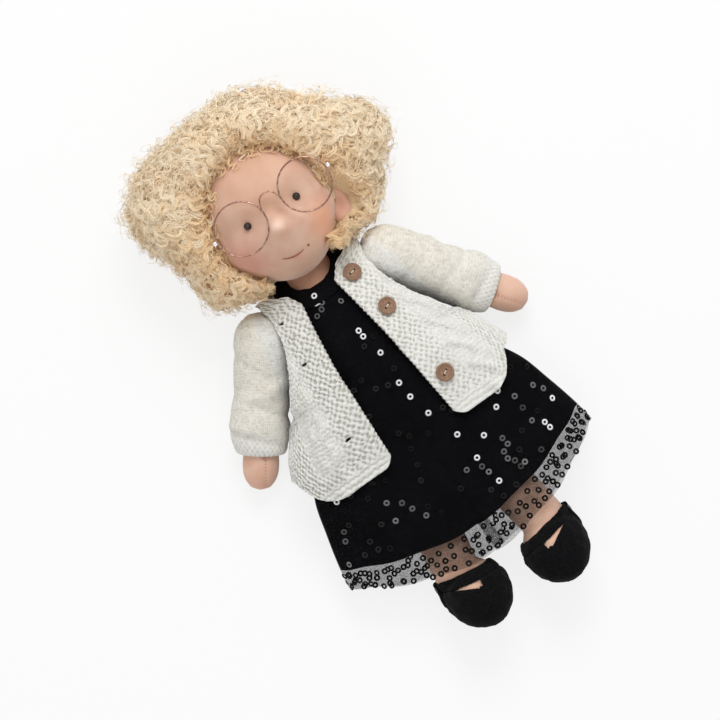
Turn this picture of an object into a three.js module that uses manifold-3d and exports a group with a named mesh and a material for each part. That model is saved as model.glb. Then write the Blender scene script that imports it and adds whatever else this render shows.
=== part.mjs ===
// A twelve inch waldorf doll lying on its back: wool filled jersey limbs and head, a mohair wig,
// wire glasses, a sequinned dress over a fuzzy lining, a knitted cardigan and felt strap shoes.
// Millimetres. X runs to the doll's left, Y up its body to the head, Z out of its chest.
// The origin is the middle of the flat of the cardigan's back, on the surface it lies on.

import * as THREE from 'three';
import { LoftGeometry } from 'three/addons/geometries/LoftGeometry.js';
import { mergeVertices } from 'three/addons/utils/BufferGeometryUtils.js';
import Module from 'manifold-3d';

const wasm = await Module();
wasm.setup();

// Cloth thicknesses and clearances
const knitWall = 3;
const tulleWall = 0.4;
const liningWall = 0.8;
const skinWall = 1;
const feltWall = 1.6;
const clothGap = 0.3;
const turnGap = 0.4;
const overrun = 40;
const floorGap = 0.1;

// Torso, stuffed. It ends below at the hip line and above at the neck seat
const torsoHalfWidth = 26;
const torsoHalfDepth = 18.5;
const torsoBelow = 34;
const torsoAbove = 46;

// Neck, a ball ended stalk that nods in the torso and carries the head
const neckRadius = 12.3;
const neckX = 1;
const neckSink = 4;
const neckLength = 21;
const neckForward = 2.5;
const nodLimit = 10;

// Head, an egg with full cheeks, tilted a little towards the doll's left shoulder
const headHalfWidth = 30.2;
const headAbove = 37;
const headBelow = 35;
const headHalfDepth = 31;
const headX = 2.2;
const headRise = 41;
const headBack = 9.5;
const headTilt = 3.4;
const cheekShare = 0.07;
const cheekDrop = 13;
const cheekSpread = 9;
const noseHeight = 5.5;
const noseRadius = 6;
const noseX = - 0.5;
const noseDrop = 8.2;
const browDip = 2;
const browSpread = 7;
const eyeSpacing = 28.4;
const eyeShift = 1.1;
const eyeDrop = 1.1;
const eyeRadius = 2.1;
const eyeStand = 0.3;
const mouthLength = 14.2;
const mouthDrop = 24.4;
const mouthShift = 0.9;
const mouthSag = 1.3;
const mouthThread = 0.45;
const earHalfWidth = 6.5;
const earHalfHeight = 10.2;
const earHalfDepth = 4;
const earDrop = 14.7;
const earBack = 3;

// Wig, a crocheted cap with locks of mohair in six sections
const capWall = 1.2;
const hairlineForward = 5;
const hairlineSlope = 16.7;
const hairReach = 66;
const hairFront = 26;
const hairBackRadius = 14;
const hairLowest = 27.5;
const fringeForward = 9;

// Wire glasses with round lenses
const rimRadius = 13.6;
const rimWire = 0.5;
const rimSpacing = 38.5;
const glassesX = 5;
const glassesDrop = - 0.2;
const glassesSink = 1.2;
const lensThickness = 0.8;
const bridgeHeight = 8;
const hingeWidth = 1.8;
const hingeHeight = 2.2;
const hingeDepth = 2.8;
const hingeRise = 1.3;
const templeLength = 37;
const templeStandoff = 3.45;
const templeWire = 0.5;
const templeRoom = 2.4;

// Arms, tied on with a knot inside a ball shaped shoulder
const shoulderX = 38;
const shoulderY = 36;
const armLength = 76.5;
const armSplay = 36.3;
const armTopRadius = 11.2;
const wristRadius = 7.6;
const wristAt = 52;
const handRadius = 9.2;
const handHalfDepth = 8;
const knotRadius = 3.2;
const threadHole = 1.6;
const stuffingMouth = 5;
const sleeveRadius = 14.3;
const sleeveHalfWidth = 14;
const sleeveLength = 57;
const sleeveWall = 2.6;

// Legs, on ball shaped hips, and feet that point forward and down
const hipX = 14.5;
const hipY = - 46;
const hipZ = 20;
const hipRadius = 13.4;
const ankleX = 25.6;
const ankleY = - 120;
const ankleZ = 14;
const ankleRadius = 11.7;
const footHalfLength = 21;
const footHalfWidth = 15.4;
const footHalfHeight = 12;
const footPoint = 40;
const footToeIn = 12;
const footForward = 7.4;
const footDrop = 11.2;
const footInward = 5;
const rightLegShorter = 4;
const soleInset = 4.5;
const soleWall = 1.8;
const strapWidth = 5;
const strapThickness = 1.3;
const vampGap = 4.2;
const vampGapWidth = 13;
const studRadius = 1.7;
const studHeight = 0.9;

// Dress: a bodice to the waist, then a lining skirt and a sheer skirt over it
const waistY = - 6;
const skirtHalfWidth = 71;
const skirtSideY = - 81;
const skirtCentreDrop = 20;
const skirtHemTop = 29;
const overlayExtra = 9;
const foldHeight = 1.8;
const foldCount = 5;
const neckholeRoom = 2;

// Cardigan: a back and two fronts. Distances across are from the middle line to each front's edge
const cardiganTop = 52.5;
const cardiganHem = - 52;
const cardiganHemSideY = - 34;
const shoulderSeamHalf = 4.5;
const cardiganEase = 0.6;
const cardiganNeckHalf = 15.5;
const cardiganNeckOuter = 29;
const rightFront = { neck: 11.2, middle: 16.2, hem: 18.7, reach: 68, hemReach: 53 };
const leftFront = { neck: 8.7, middle: 14.4, hem: 20, reach: 62, hemReach: 46 };
const frontNeckY = 40;
const frontMiddleY = 5;
const hemCorner = 4;
const sideSeamRise = 9;
const backSink = 2;
const buttonRadius = 4.7;
const buttonThickness = 2;
const buttonEyeRadius = 0.6;
const buttonEyeSpacing = 2.4;
const buttonInset = 9;
const buttonYs = [ 37.4, 14.1, - 29.2 ];
const buttonholeLength = 5;
const buttonholeWidth = 1.2;
const buttonholeInset = 9.6;

// Facets
const podSides = 18;
const innerSides = 14;
const headRings = 10;
const limbSides = 14;
const limbInnerSides = 10;
const clothSides = 28;
const rimSteps = 22;
const wireSteps = 3;
const holeSides = 8;
const quarterSteps = 4;
const capSteps = 3;
const capDegrees = 78;
const poleDegrees = 80;
const sliceDegrees = 12;

// Materials
function material( color, roughness, metalness = 0, opacity = 1 ) {

	return new THREE.MeshStandardMaterial( { color, roughness, metalness, opacity, transparent: opacity < 1 } );

}

const jersey = material( 0xe2b59a, 0.85 );
const wool = material( 0xe9e2d2, 1 );
const mohair = material( 0xe0c69a, 0.9 );
const crochet = material( 0xd8bd90, 0.95 );
const bead = material( 0x14110f, 0.15 );
const stitch = material( 0xb5705f, 0.8 );
const roseGold = material( 0xc98f7a, 0.25, 1 );
const hingeSteel = material( 0xd9d9d9, 0.2, 1 );
const lens = material( 0xf3efec, 0.05, 0, 0.2 );
const waxedThread = material( 0xe8dcc8, 0.8 );
const liningCloth = material( 0x14141a, 0.95 );
const tulle = material( 0x1a1b22, 0.8 );
const knit = material( 0xe9e6dd, 0.95 );
const sleeveKnit = material( 0xe2dccd, 0.95 );
const wood = material( 0x94683f, 0.7 );
const felt = material( 0x111214, 0.95 );
const pressStud = material( 0x3a3c42, 0.35, 1 );

// Geometry helpers

const degrees = THREE.MathUtils.degToRad;
const bell = ( t ) => Math.exp( - t * t );

// Keeps positions only, merges what coincides, drops collapsed faces and turns the body outwards.
function closed( geometry ) {

	const bare = new THREE.BufferGeometry().copy( geometry );
	bare.deleteAttribute( 'normal' );
	bare.deleteAttribute( 'uv' );
	const merged = mergeVertices( bare, 1e-4 );
	const position = merged.attributes.position;
	const index = merged.index.array;
	const kept = [];
	let volume = 0;
	const [ a, b, c ] = [ new THREE.Vector3(), new THREE.Vector3(), new THREE.Vector3() ];
	for ( let i = 0; i < index.length; i += 3 ) {

		const [ p, q, r ] = [ index[ i ], index[ i + 1 ], index[ i + 2 ] ];
		if ( p === q || q === r || r === p ) continue;
		kept.push( p, q, r );
		a.fromBufferAttribute( position, p );
		b.fromBufferAttribute( position, q );
		c.fromBufferAttribute( position, r );
		volume += a.dot( b.cross( c ) );

	}

	if ( volume < 0 ) kept.reverse();
	merged.setIndex( kept );
	return merged;

}

function solid( geometry ) {

	const body = closed( geometry );
	return new wasm.Manifold( new wasm.Mesh( {
		numProp: 3,
		vertProperties: new Float32Array( body.attributes.position.array ),
		triVerts: new Uint32Array( body.index.array )
	} ) );

}

function fromSolid( shape ) {

	const mesh = shape.getMesh();
	const geometry = new THREE.BufferGeometry();
	geometry.setAttribute( 'position', new THREE.BufferAttribute( mesh.vertProperties, 3 ) );
	geometry.setIndex( new THREE.BufferAttribute( mesh.triVerts, 1 ) );
	return geometry;

}

const cut = ( geometry, ...tools ) =>
	fromSolid( tools.reduce( ( body, tool ) => body.subtract( solid( tool ) ), solid( geometry ) ) );
const join = ( ...geometries ) => fromSolid( geometries.map( solid ).reduce( ( a, b ) => a.add( b ) ) );
const common = ( ...geometries ) =>
	fromSolid( geometries.map( solid ).reduce( ( a, b ) => a.intersect( b ) ) );

function box( low, high ) {

	const size = new THREE.Vector3().subVectors( high, low );
	const middle = new THREE.Vector3().addVectors( low, high ).multiplyScalar( 0.5 );
	return new THREE.BoxGeometry( size.x, size.y, size.z ).translate( middle.x, middle.y, middle.z );

}

const v = ( x, y, z ) => new THREE.Vector3( x, y, z );

// One ring of a form that runs along Y, as points round an ellipse
function ring( { x = 0, y, z = 0, w, d }, count, shape = ( p ) => p ) {

	return Array.from( { length: count }, ( _, i ) => {

		const turn = i / count * 2 * Math.PI;
		return shape( v( x + w * Math.cos( turn ), y, z + d * Math.sin( turn ) ) );

	} );

}

// A closed body through its sections, each turned so that its wall faces outwards like its caps
function loft( sections ) {

	const middle = ( points ) =>
		points.reduce( ( sum, p ) => sum.add( p ), v( 0, 0, 0 ) ).divideScalar( points.length );
	const first = sections[ 0 ];
	const normal = v( 0, 0, 0 );
	first.forEach( ( p, i ) => normal.add( p.clone().cross( first[ ( i + 1 ) % first.length ] ) ) );
	const onward = middle( sections[ 1 ] ).sub( middle( first ) );
	const turned = normal.dot( onward ) < 0 ? sections.map( ( points ) => points.slice().reverse() ) : sections;
	return new LoftGeometry( turned, { capStart: true, capEnd: true } );

}

// A closed stuffed form through its rings
const pod = ( rings, count = podSides, shape ) => loft( rings.map( ( r ) => ring( r, count, shape ) ) );

const sphere = ( radius, at = v( 0, 0, 0 ), count = 12 ) =>
	new THREE.SphereGeometry( radius, count, count / 2 + 1 ).translate( at.x, at.y, at.z );

// A hollow for a ball to turn in. Facets cut inside a round, so it is wider by their sagitta.
const socket = ( radius, at, count = 12 ) =>
	sphere( ( radius + turnGap ) / Math.cos( Math.PI / count ) ** 2, at, count );

function wire( points, radius, steps, isClosed = false ) {

	const outline = new THREE.Shape().absarc( 0, 0, radius, 0, 2 * Math.PI );
	return new THREE.ExtrudeGeometry( outline, {
		steps, bevelEnabled: false, curveSegments: wireSteps,
		extrudePath: new THREE.CatmullRomCurve3( points, isClosed )
	} );

}

// Rising table: the value at y of a list of [ y, value ] pairs in order of y
function along( table, y ) {

	const at = table.findIndex( ( row ) => row[ 0 ] >= y );
	if ( at === 0 ) return table[ 0 ][ 1 ];
	if ( at < 0 ) return table[ table.length - 1 ][ 1 ];
	const [ [ y0, v0 ], [ y1, v1 ] ] = [ table[ at - 1 ], table[ at ] ];
	const t = ( y - y0 ) / ( y1 - y0 );
	return v0 + ( v1 - v0 ) * ( t * t * ( 3 - 2 * t ) + t ) / 2;

}

// The scene graph

const group = new THREE.Group();

function frameAt( position, rotation = new THREE.Euler() ) {

	const frame = new THREE.Group();
	frame.position.copy( position );
	frame.rotation.copy( rotation );
	group.add( frame );
	group.updateMatrixWorld( true );
	return frame;

}

function add( name, geometry, finish, frame = group ) {

	const mesh = new THREE.Mesh( closed( geometry ), finish );
	mesh.name = name;
	frame.add( mesh );
	return mesh;

}

const inFrame = ( geometry, frame ) => closed( geometry ).applyMatrix4( frame.matrixWorld.clone().invert() );

// Heights of the layers under the body
const dressStack = tulleWall + clothGap + liningWall;
const bodyZ = knitWall + clothGap + dressStack + clothGap + torsoHalfDepth;
const torsoLength = torsoBelow + torsoAbove;

// Torso. Shares of its length, half-width and half-depth from the hips up
const torsoShares = [
	[ 0, 0.3, 0.34 ], [ 0.04, 0.62, 0.66 ], [ 0.12, 0.86, 0.88 ], [ 0.26, 1, 1 ], [ 0.45, 0.98, 1 ],
	[ 0.64, 0.9, 0.95 ], [ 0.8, 0.8, 0.86 ], [ 0.91, 0.68, 0.74 ], [ 1, 0.52, 0.62 ]
];

function torsoForm( inset ) {

	return pod( torsoShares.map( ( [ length, width, depth ] ) => ( {
		y: length * ( torsoLength - 2 * inset ) + inset - torsoBelow,
		z: bodyZ,
		w: width * torsoHalfWidth - inset,
		d: depth * torsoHalfDepth - inset
	} ) ), inset > 0 ? innerSides : podSides );

}

const neckPivot = v( neckX, torsoAbove - neckSink, bodyZ + neckForward );
const sides = { left: 1, right: - 1 };
const hipAt = ( side ) => v( side * hipX, hipY, hipZ );
const hipSockets = Object.values( sides ).map( ( side ) => socket( hipRadius, hipAt( side ) ) );

// A ball and a stalk up from it, as a profile to turn: the neck, and the room that it nods in
function stalk( radius, spread ) {

	const profile = [];
	for ( let i = 0; i <= quarterSteps; i ++ ) {

		const angle = ( i / quarterSteps - 1 ) * Math.PI / 2;
		profile.push( new THREE.Vector2( i === 0 ? 0 : radius * Math.cos( angle ), radius * Math.sin( angle ) ) );

	}

	profile.push( new THREE.Vector2( radius + spread, neckLength ), new THREE.Vector2( 0, neckLength ) );
	return new THREE.LatheGeometry( profile, podSides );

}

const neckRoom = stalk( neckRadius + 2 * turnGap, neckLength * Math.tan( degrees( nodLimit ) ) )
	.translate( neckPivot.x, neckPivot.y, neckPivot.z );

add( 'torso_skin', cut( torsoForm( 0 ), torsoForm( skinWall ), neckRoom, ...hipSockets ), jersey );
add( 'torso_stuffing', cut( torsoForm( skinWall + clothGap ), neckRoom, ...hipSockets ), wool );

add( 'neck_stalk', stalk( neckRadius, 0 ), jersey, frameAt( neckPivot ) );

// Head
const headZ = headBack + headHalfDepth;
const headY = neckPivot.y + headRise + neckSink - turnGap;
const headFrame = frameAt( v( headX, headY, headZ ), new THREE.Euler( 0, 0, - degrees( headTilt ) ) );

// How far the face stands out of the plain egg at a place on it
const faceRelief = ( x, y ) =>
	noseHeight * bell( Math.hypot( x - noseX, y + noseDrop ) / noseRadius )
	- browDip * bell( ( y + eyeDrop ) / browSpread );

function headForm( inset ) {

	const rings = [];
	for ( let i = 0; i <= headRings; i ++ ) {

		const angle = degrees( poleDegrees ) * ( 2 * i / headRings - 1 );
		const y = ( ( angle < 0 ? headBelow : headAbove ) - inset ) * Math.sin( angle );
		const cheek = 1 + cheekShare * bell( ( y + cheekDrop ) / cheekSpread );
		const narrow = Math.cos( angle ) * cheek;
		rings.push( { y, w: ( headHalfWidth - inset ) * narrow, d: ( headHalfDepth - inset ) * narrow } );

	}

	return pod( rings, inset > 0 ? innerSides : podSides, ( p ) => {

		if ( p.z > 0 ) p.z += faceRelief( p.x, p.y ) * Math.min( 1, 2 * p.z / headHalfDepth );
		return p;

	} );

}

// The depth of the face at a place on it, in the head's frame
function faceZ( x, y ) {

	const tall = y < 0 ? headBelow : headAbove;
	const cheek = 1 + cheekShare * bell( ( y + cheekDrop ) / cheekSpread );
	const round = Math.sqrt( Math.max( 0, 1 - ( y / tall ) ** 2 - ( x / headHalfWidth / cheek ) ** 2 ) );
	return headHalfDepth * cheek * round + faceRelief( x, y );

}

const neckHole = inFrame( new THREE.CylinderGeometry( neckRadius + turnGap, neckRadius + turnGap,
	neckLength + turnGap, podSides ).translate( neckPivot.x, neckPivot.y + ( neckLength + turnGap ) / 2,
	neckPivot.z ), headFrame );
add( 'head_skin', cut( headForm( 0 ), headForm( skinWall ), neckHole ), jersey, headFrame );
add( 'head_core', cut( headForm( skinWall + clothGap ), neckHole ), wool, headFrame );

const earForm = ( side, extra ) => sphere( 1, v( 0, 0, 0 ), limbInnerSides )
	.scale( earHalfWidth + extra, earHalfHeight + extra, earHalfDepth + extra )
	.translate( side * headHalfWidth, - earDrop, - earBack );
const headClear = headForm( - clothGap );
for ( const [ name, side ] of Object.entries( sides ) ) {

	const x = eyeShift + side * eyeSpacing / 2;
	const eye = sphere( eyeRadius, v( x, - eyeDrop, faceZ( x, - eyeDrop ) + eyeStand ), limbInnerSides );
	add( `${ name }_eye`, cut( eye, headClear ), bead, headFrame );
	add( `${ name }_ear`, cut( earForm( side, 0 ), headClear ), jersey, headFrame );

}

const mouthShares = [ - 1, - 0.5, 0, 0.5, 1 ];
const mouthPoints = mouthShares.map( ( share ) => {

	const x = mouthShift + share * mouthLength / 2;
	const y = - mouthDrop - mouthSag * ( 1 - share * share );
	return v( x, y, faceZ( x, y ) + clothGap );

} );
const mouthWire = wire( mouthPoints, mouthThread, mouthShares.length * 2 );
add( 'mouth_stitch', cut( mouthWire, headClear ), stitch, headFrame );

// Wig cap: behind a sloping hairline plane
const hairlineTurn = degrees( hairlineSlope );
const faceSide = box( v( - overrun * 2, - overrun * 2, 0 ), v( overrun * 2, overrun * 2, overrun * 2 ) )
	.rotateX( hairlineTurn ).translate( 0, 0, hairlineForward );
const far = overrun * 3;
const belowHair = box( v( - far, - far, - far ), v( far, - hairLowest, far ) );
const capOut = clothGap + capWall;

// Hair: sections of mohair round the head, each a run of upright slices fanned about the view axis.
// Reach is [ degrees from the crown towards the doll's left, share of hairReach ].
const reachShares = [
	[ - 132, 0.72 ], [ - 118, 0.83 ], [ - 100, 0.77 ], [ - 86, 0.8 ], [ - 72, 1.0 ], [ - 58, 1.09 ],
	[ - 44, 1.05 ], [ - 30, 1.0 ], [ - 16, 0.99 ], [ 0, 0.96 ], [ 16, 0.96 ], [ 30, 0.95 ], [ 46, 0.93 ],
	[ 60, 0.98 ], [ 74, 1.1 ], [ 86, 1.12 ], [ 98, 0.92 ], [ 110, 0.85 ], [ 124, 0.8 ], [ 132, 0.7 ]
];
const hairSections = [
	[ 'hair_right_side', - 132, - 72 ], [ 'hair_right_crown', - 72, - 26 ], [ 'hair_fringe', - 26, 26 ],
	[ 'hair_left_crown', 26, 74 ], [ 'hair_left_side', 74, 132 ]
];

// Shares that shape a slice: the height and place of its hairline, then its front, its rim and its back
const hairlineShares = { plane: 0.9, least: 0.45 };
const frontShares = { low: 0.55, root: 0.7, brim: 0.94, outer: 0.8, fall: 0.6 };
const rimShares = { widest: 0.2, under: 0.95, drop: 0.72, rest: 0.82 };

function hairSlice( turn ) {

	const angle = degrees( turn );
	const reach = hairReach * along( reachShares, turn );
	const radial = Math.cos( angle );
	const headRadius = 1 / Math.hypot( Math.sin( angle ) / headHalfWidth, radial / headAbove );
	const planeZ = hairlineForward + Math.tan( hairlineTurn ) * headRadius * radial * hairlineShares.plane;
	const lineShare = Math.sqrt( Math.max( 0, 1 - ( planeZ / headHalfDepth ) ** 2 ) );
	const lineR = headRadius * Math.max( hairlineShares.least, lineShare );
	const full = THREE.MathUtils.lerp( frontShares.low, 1, Math.max( 0, radial ) );
	const front = Math.max( planeZ + fringeForward, hairFront * full );
	const profile = [
		[ lineR * frontShares.root, planeZ - fringeForward ], [ lineR, planeZ + clothGap ],
		[ lineR + fringeForward / 2, front * frontShares.brim ], [ ( lineR + reach ) / 2, front ],
		[ THREE.MathUtils.lerp( lineR, reach, frontShares.outer ), front * frontShares.fall ],
		[ reach, - headZ * rimShares.widest ], [ reach * rimShares.under, - headZ * rimShares.drop ],
		[ reach * rimShares.rest, - headZ ], [ hairBackRadius, - headZ ],
		[ hairBackRadius, - headHalfDepth * frontShares.root ]
	];
	return profile.map( ( [ r, z ] ) => v( r * Math.sin( angle ), r * radial, z ) );

}

const hairClear = headForm( - capOut - clothGap );
const templeX = rimSpacing / 2 + rimRadius + hingeWidth / 2 + rimWire;
const templeBow = headHalfWidth + glassesX - headX + templeStandoff - templeX;
const rimZ = headZ + faceZ( noseX, - noseDrop ) - glassesSink;
const templeEndZ = rimZ - hingeDepth / 2 - clothGap - templeLength;
const templeTipY = headY - glassesDrop - hingeRise;
const templePaths = Object.values( sides ).map( ( side ) => {

	const inner = glassesX + side * ( templeX - templeRoom );
	const outer = glassesX + side * ( templeX + templeBow + templeRoom );
	const low = v( Math.min( inner, outer ), templeTipY - templeWire - clothGap, templeEndZ - clothGap );
	const high = v( Math.max( inner, outer ), templeTipY + hingeRise * 2 + templeRoom, far );
	return inFrame( box( low, high ), headFrame );

} );
const earRooms = Object.values( sides ).map( ( side ) => earForm( side, turnGap ) );
const napeRoom = inFrame( stalk( neckRadius + 2 * turnGap, neckRadius )
	.translate( neckPivot.x, neckPivot.y, neckPivot.z ), headFrame );
const cap = cut( headForm( - capOut ), headForm( - clothGap ), faceSide, belowHair, napeRoom, ...earRooms );
add( 'wig_cap', cap, crochet, headFrame );

for ( const [ name, from, to ] of hairSections ) {

	const split = THREE.MathUtils.radToDeg( clothGap / hairBackRadius / 2 );
	const count = Math.round( ( to - from ) / sliceDegrees );
	const slices = [];
	for ( let i = 0; i <= count; i ++ ) {

		slices.push( hairSlice( THREE.MathUtils.lerp( from + split, to - split, i / count ) ) );

	}

	add( name, cut( loft( slices ), hairClear, belowHair, ...templePaths, ...earRooms ), mohair, headFrame );

}

const padRadius = hairBackRadius - clothGap;
const pad = new THREE.CylinderGeometry( padRadius, padRadius, headZ, podSides )
	.rotateX( Math.PI / 2 ).translate( 0, 0, - headZ / 2 );
add( 'hair_back', cut( pad, hairClear ), mohair, headFrame );

// Glasses: two wire rims with round lenses, a high bridge, hinges and temples that run back over the ears
const glassesFrame = frameAt( v( glassesX, headY - glassesDrop, rimZ ) );
const templeShares = [ [ 0, 0 ], [ 0.2, 0.5 ], [ 0.45, 0.95 ], [ 0.75, 1 ], [ 1, 1 ] ];
const bridgeShares = [
	[ - 1, - 0.1 ], [ - 0.92, 0.35 ], [ - 0.6, 0.85 ], [ 0, 1 ], [ 0.6, 0.85 ], [ 0.92, 0.35 ], [ 1, - 0.1 ]
];
const rimPoints = Array.from( { length: rimSteps }, ( _, i ) => {

	const turn = i / rimSteps * 2 * Math.PI;
	return v( rimRadius * Math.cos( turn ), rimRadius * Math.sin( turn ), 0 );

} );
const paneRadius = rimRadius - rimWire - clothGap;
for ( const [ name, side ] of Object.entries( sides ) ) {

	const centre = side * rimSpacing / 2;
	const rim = wire( rimPoints, rimWire, rimSteps, true ).translate( centre, 0, 0 );
	const pane = new THREE.CylinderGeometry( paneRadius, paneRadius, lensThickness, rimSteps )
		.rotateX( Math.PI / 2 ).translate( centre, 0, 0 );
	const hingeX = centre + side * ( rimRadius + rimWire + clothGap + hingeWidth / 2 );
	const hinge = box( v( - hingeWidth / 2, - hingeHeight / 2, - hingeDepth / 2 ),
		v( hingeWidth / 2, hingeHeight / 2, hingeDepth / 2 ) ).translate( hingeX, hingeRise, 0 );
	const start = - hingeDepth / 2 - clothGap;
	const templePoints = templeShares.map( ( [ back, bow ] ) =>
		v( hingeX + side * bow * templeBow, hingeRise - back * hingeRise * 2, start - back * templeLength ) );
	add( `${ name }_rim`, rim, roseGold, glassesFrame );
	add( `${ name }_lens`, pane, lens, glassesFrame );
	add( `${ name }_hinge`, hinge, hingeSteel, glassesFrame );
	add( `${ name }_temple`, wire( templePoints, templeWire, templeShares.length * 2 ), roseGold, glassesFrame );

}

const bridgeHalf = rimSpacing / 2 - rimRadius - rimWire - clothGap - rimWire;
const bridgePoints = bridgeShares.map( ( [ across, up ] ) => v( across * bridgeHalf, up * bridgeHeight, 0 ) );
add( 'bridge', wire( bridgePoints, rimWire, bridgeShares.length * 2 ), roseGold, glassesFrame );

// Arms. Each hangs along its frame's -Y from the shoulder's centre; the hand lies on the surface
const shoulderZ = bodyZ + turnGap;
const armDrop = Math.asin( ( shoulderZ - handHalfDepth - floorGap ) / armLength );

// Rings of the half ball that ends a limb
function ballEnd( radius ) {

	return Array.from( { length: capSteps + 1 }, ( _, i ) => {

		const angle = degrees( capDegrees ) * ( 1 - i / capSteps );
		const across = radius * Math.cos( angle );
		return { y: radius * Math.sin( angle ), w: across, d: across };

	} );

}

// Shares of the hand's length from the wrist, with the shares of its half-width and half-depth
const handShares = [ [ 0.25, 0.92 ], [ 0.55, 1 ], [ 0.8, 0.8 ], [ 0.94, 0.45 ], [ 1, 0.14 ] ];

function armForm( inset ) {

	const rings = ballEnd( armTopRadius - inset );
	const middle = ( wristRadius + armTopRadius ) / 2 - inset;
	rings.push( { y: - wristAt / 2, w: middle, d: middle } );
	rings.push( { y: - wristAt, w: wristRadius - inset, d: wristRadius - inset } );
	for ( const [ share, full ] of handShares ) {

		rings.push( {
			y: - wristAt - share * ( armLength - wristAt ) + inset,
			w: Math.max( skinWall, handRadius * full - inset ),
			d: Math.max( skinWall, handHalfDepth * full - inset )
		} );

	}

	return pod( rings, inset > 0 ? limbInnerSides : limbSides );

}

// Shares of the sleeve's length from the shoulder, with the shares of its half-width and half-depth
const sleeveShares = [
	[ 0.3, 1, 0.94 ], [ 0.6, 1, 0.9 ], [ 0.8, 1.02, 0.86 ], [ 0.92, 1, 0.82 ], [ 1, 0.92, 0.8 ]
];

function sleeveForm( inset ) {

	const rings = ballEnd( sleeveRadius - inset );
	const half = sleeveHalfWidth - inset;
	for ( const [ share, width, depth ] of sleeveShares ) {

		const open = inset > 0 && share === 1 ? overrun : 0;
		rings.push( { y: - share * sleeveLength - open, w: half * width, d: half * depth } );

	}

	return pod( rings, limbSides );

}

for ( const [ name, side ] of Object.entries( sides ) ) {

	const frame = frameAt( v( side * shoulderX, shoulderY, shoulderZ ),
		new THREE.Euler( armDrop, 0, side * degrees( armSplay ), 'ZYX' ) );
	const mouth = new THREE.CylinderGeometry( stuffingMouth, stuffingMouth, armTopRadius, limbInnerSides )
		.translate( 0, armTopRadius, 0 );
	const threadWay = new THREE.CylinderGeometry( threadHole, threadHole, armTopRadius * 2, holeSides )
		.translate( 0, armTopRadius, 0 );
	const filling = cut( armForm( skinWall + clothGap ), socket( knotRadius ), threadWay );
	add( `${ name }_arm_skin`, cut( armForm( 0 ), armForm( skinWall ), mouth ), jersey, frame );
	add( `${ name }_arm_stuffing`, filling, wool, frame );
	add( `${ name }_shoulder_knot`, sphere( knotRadius ), waxedThread, frame );
	add( `${ name }_sleeve`, cut( sleeveForm( 0 ), sleeveForm( sleeveWall ) ), sleeveKnit, frame );

}

// Legs. Each runs along its frame's -Y from the hip's centre to the ankle
const legShares = [ 0.35, 0.7, 1 ];
const heelShare = 0.8;

function legForm( length, inset ) {

	const rings = ballEnd( hipRadius - inset );
	for ( const share of legShares ) {

		const half = THREE.MathUtils.lerp( hipRadius, ankleRadius, share ) - inset;
		rings.push( { y: - share * length, w: half, d: half } );

	}

	const heel = ankleRadius * heelShare - inset;
	rings.push( { y: - length - ankleRadius / 2 + inset, w: heel, d: heel } );
	return pod( rings, inset > 0 ? limbInnerSides : limbSides );

}

// The foot, its length along Y with the heel at +Y, and its sole cut flat facing -Z
function footForm( extra ) {

	const flat = - ( footHalfHeight - soleInset + extra );
	const whole = sphere( 1, v( 0, 0, 0 ), extra < 0 ? limbInnerSides : limbSides )
		.scale( footHalfWidth + extra, footHalfLength + extra, footHalfHeight + extra );
	return cut( whole, box( v( - overrun, - overrun, - overrun ), v( overrun, overrun, flat ) ) );

}

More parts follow.
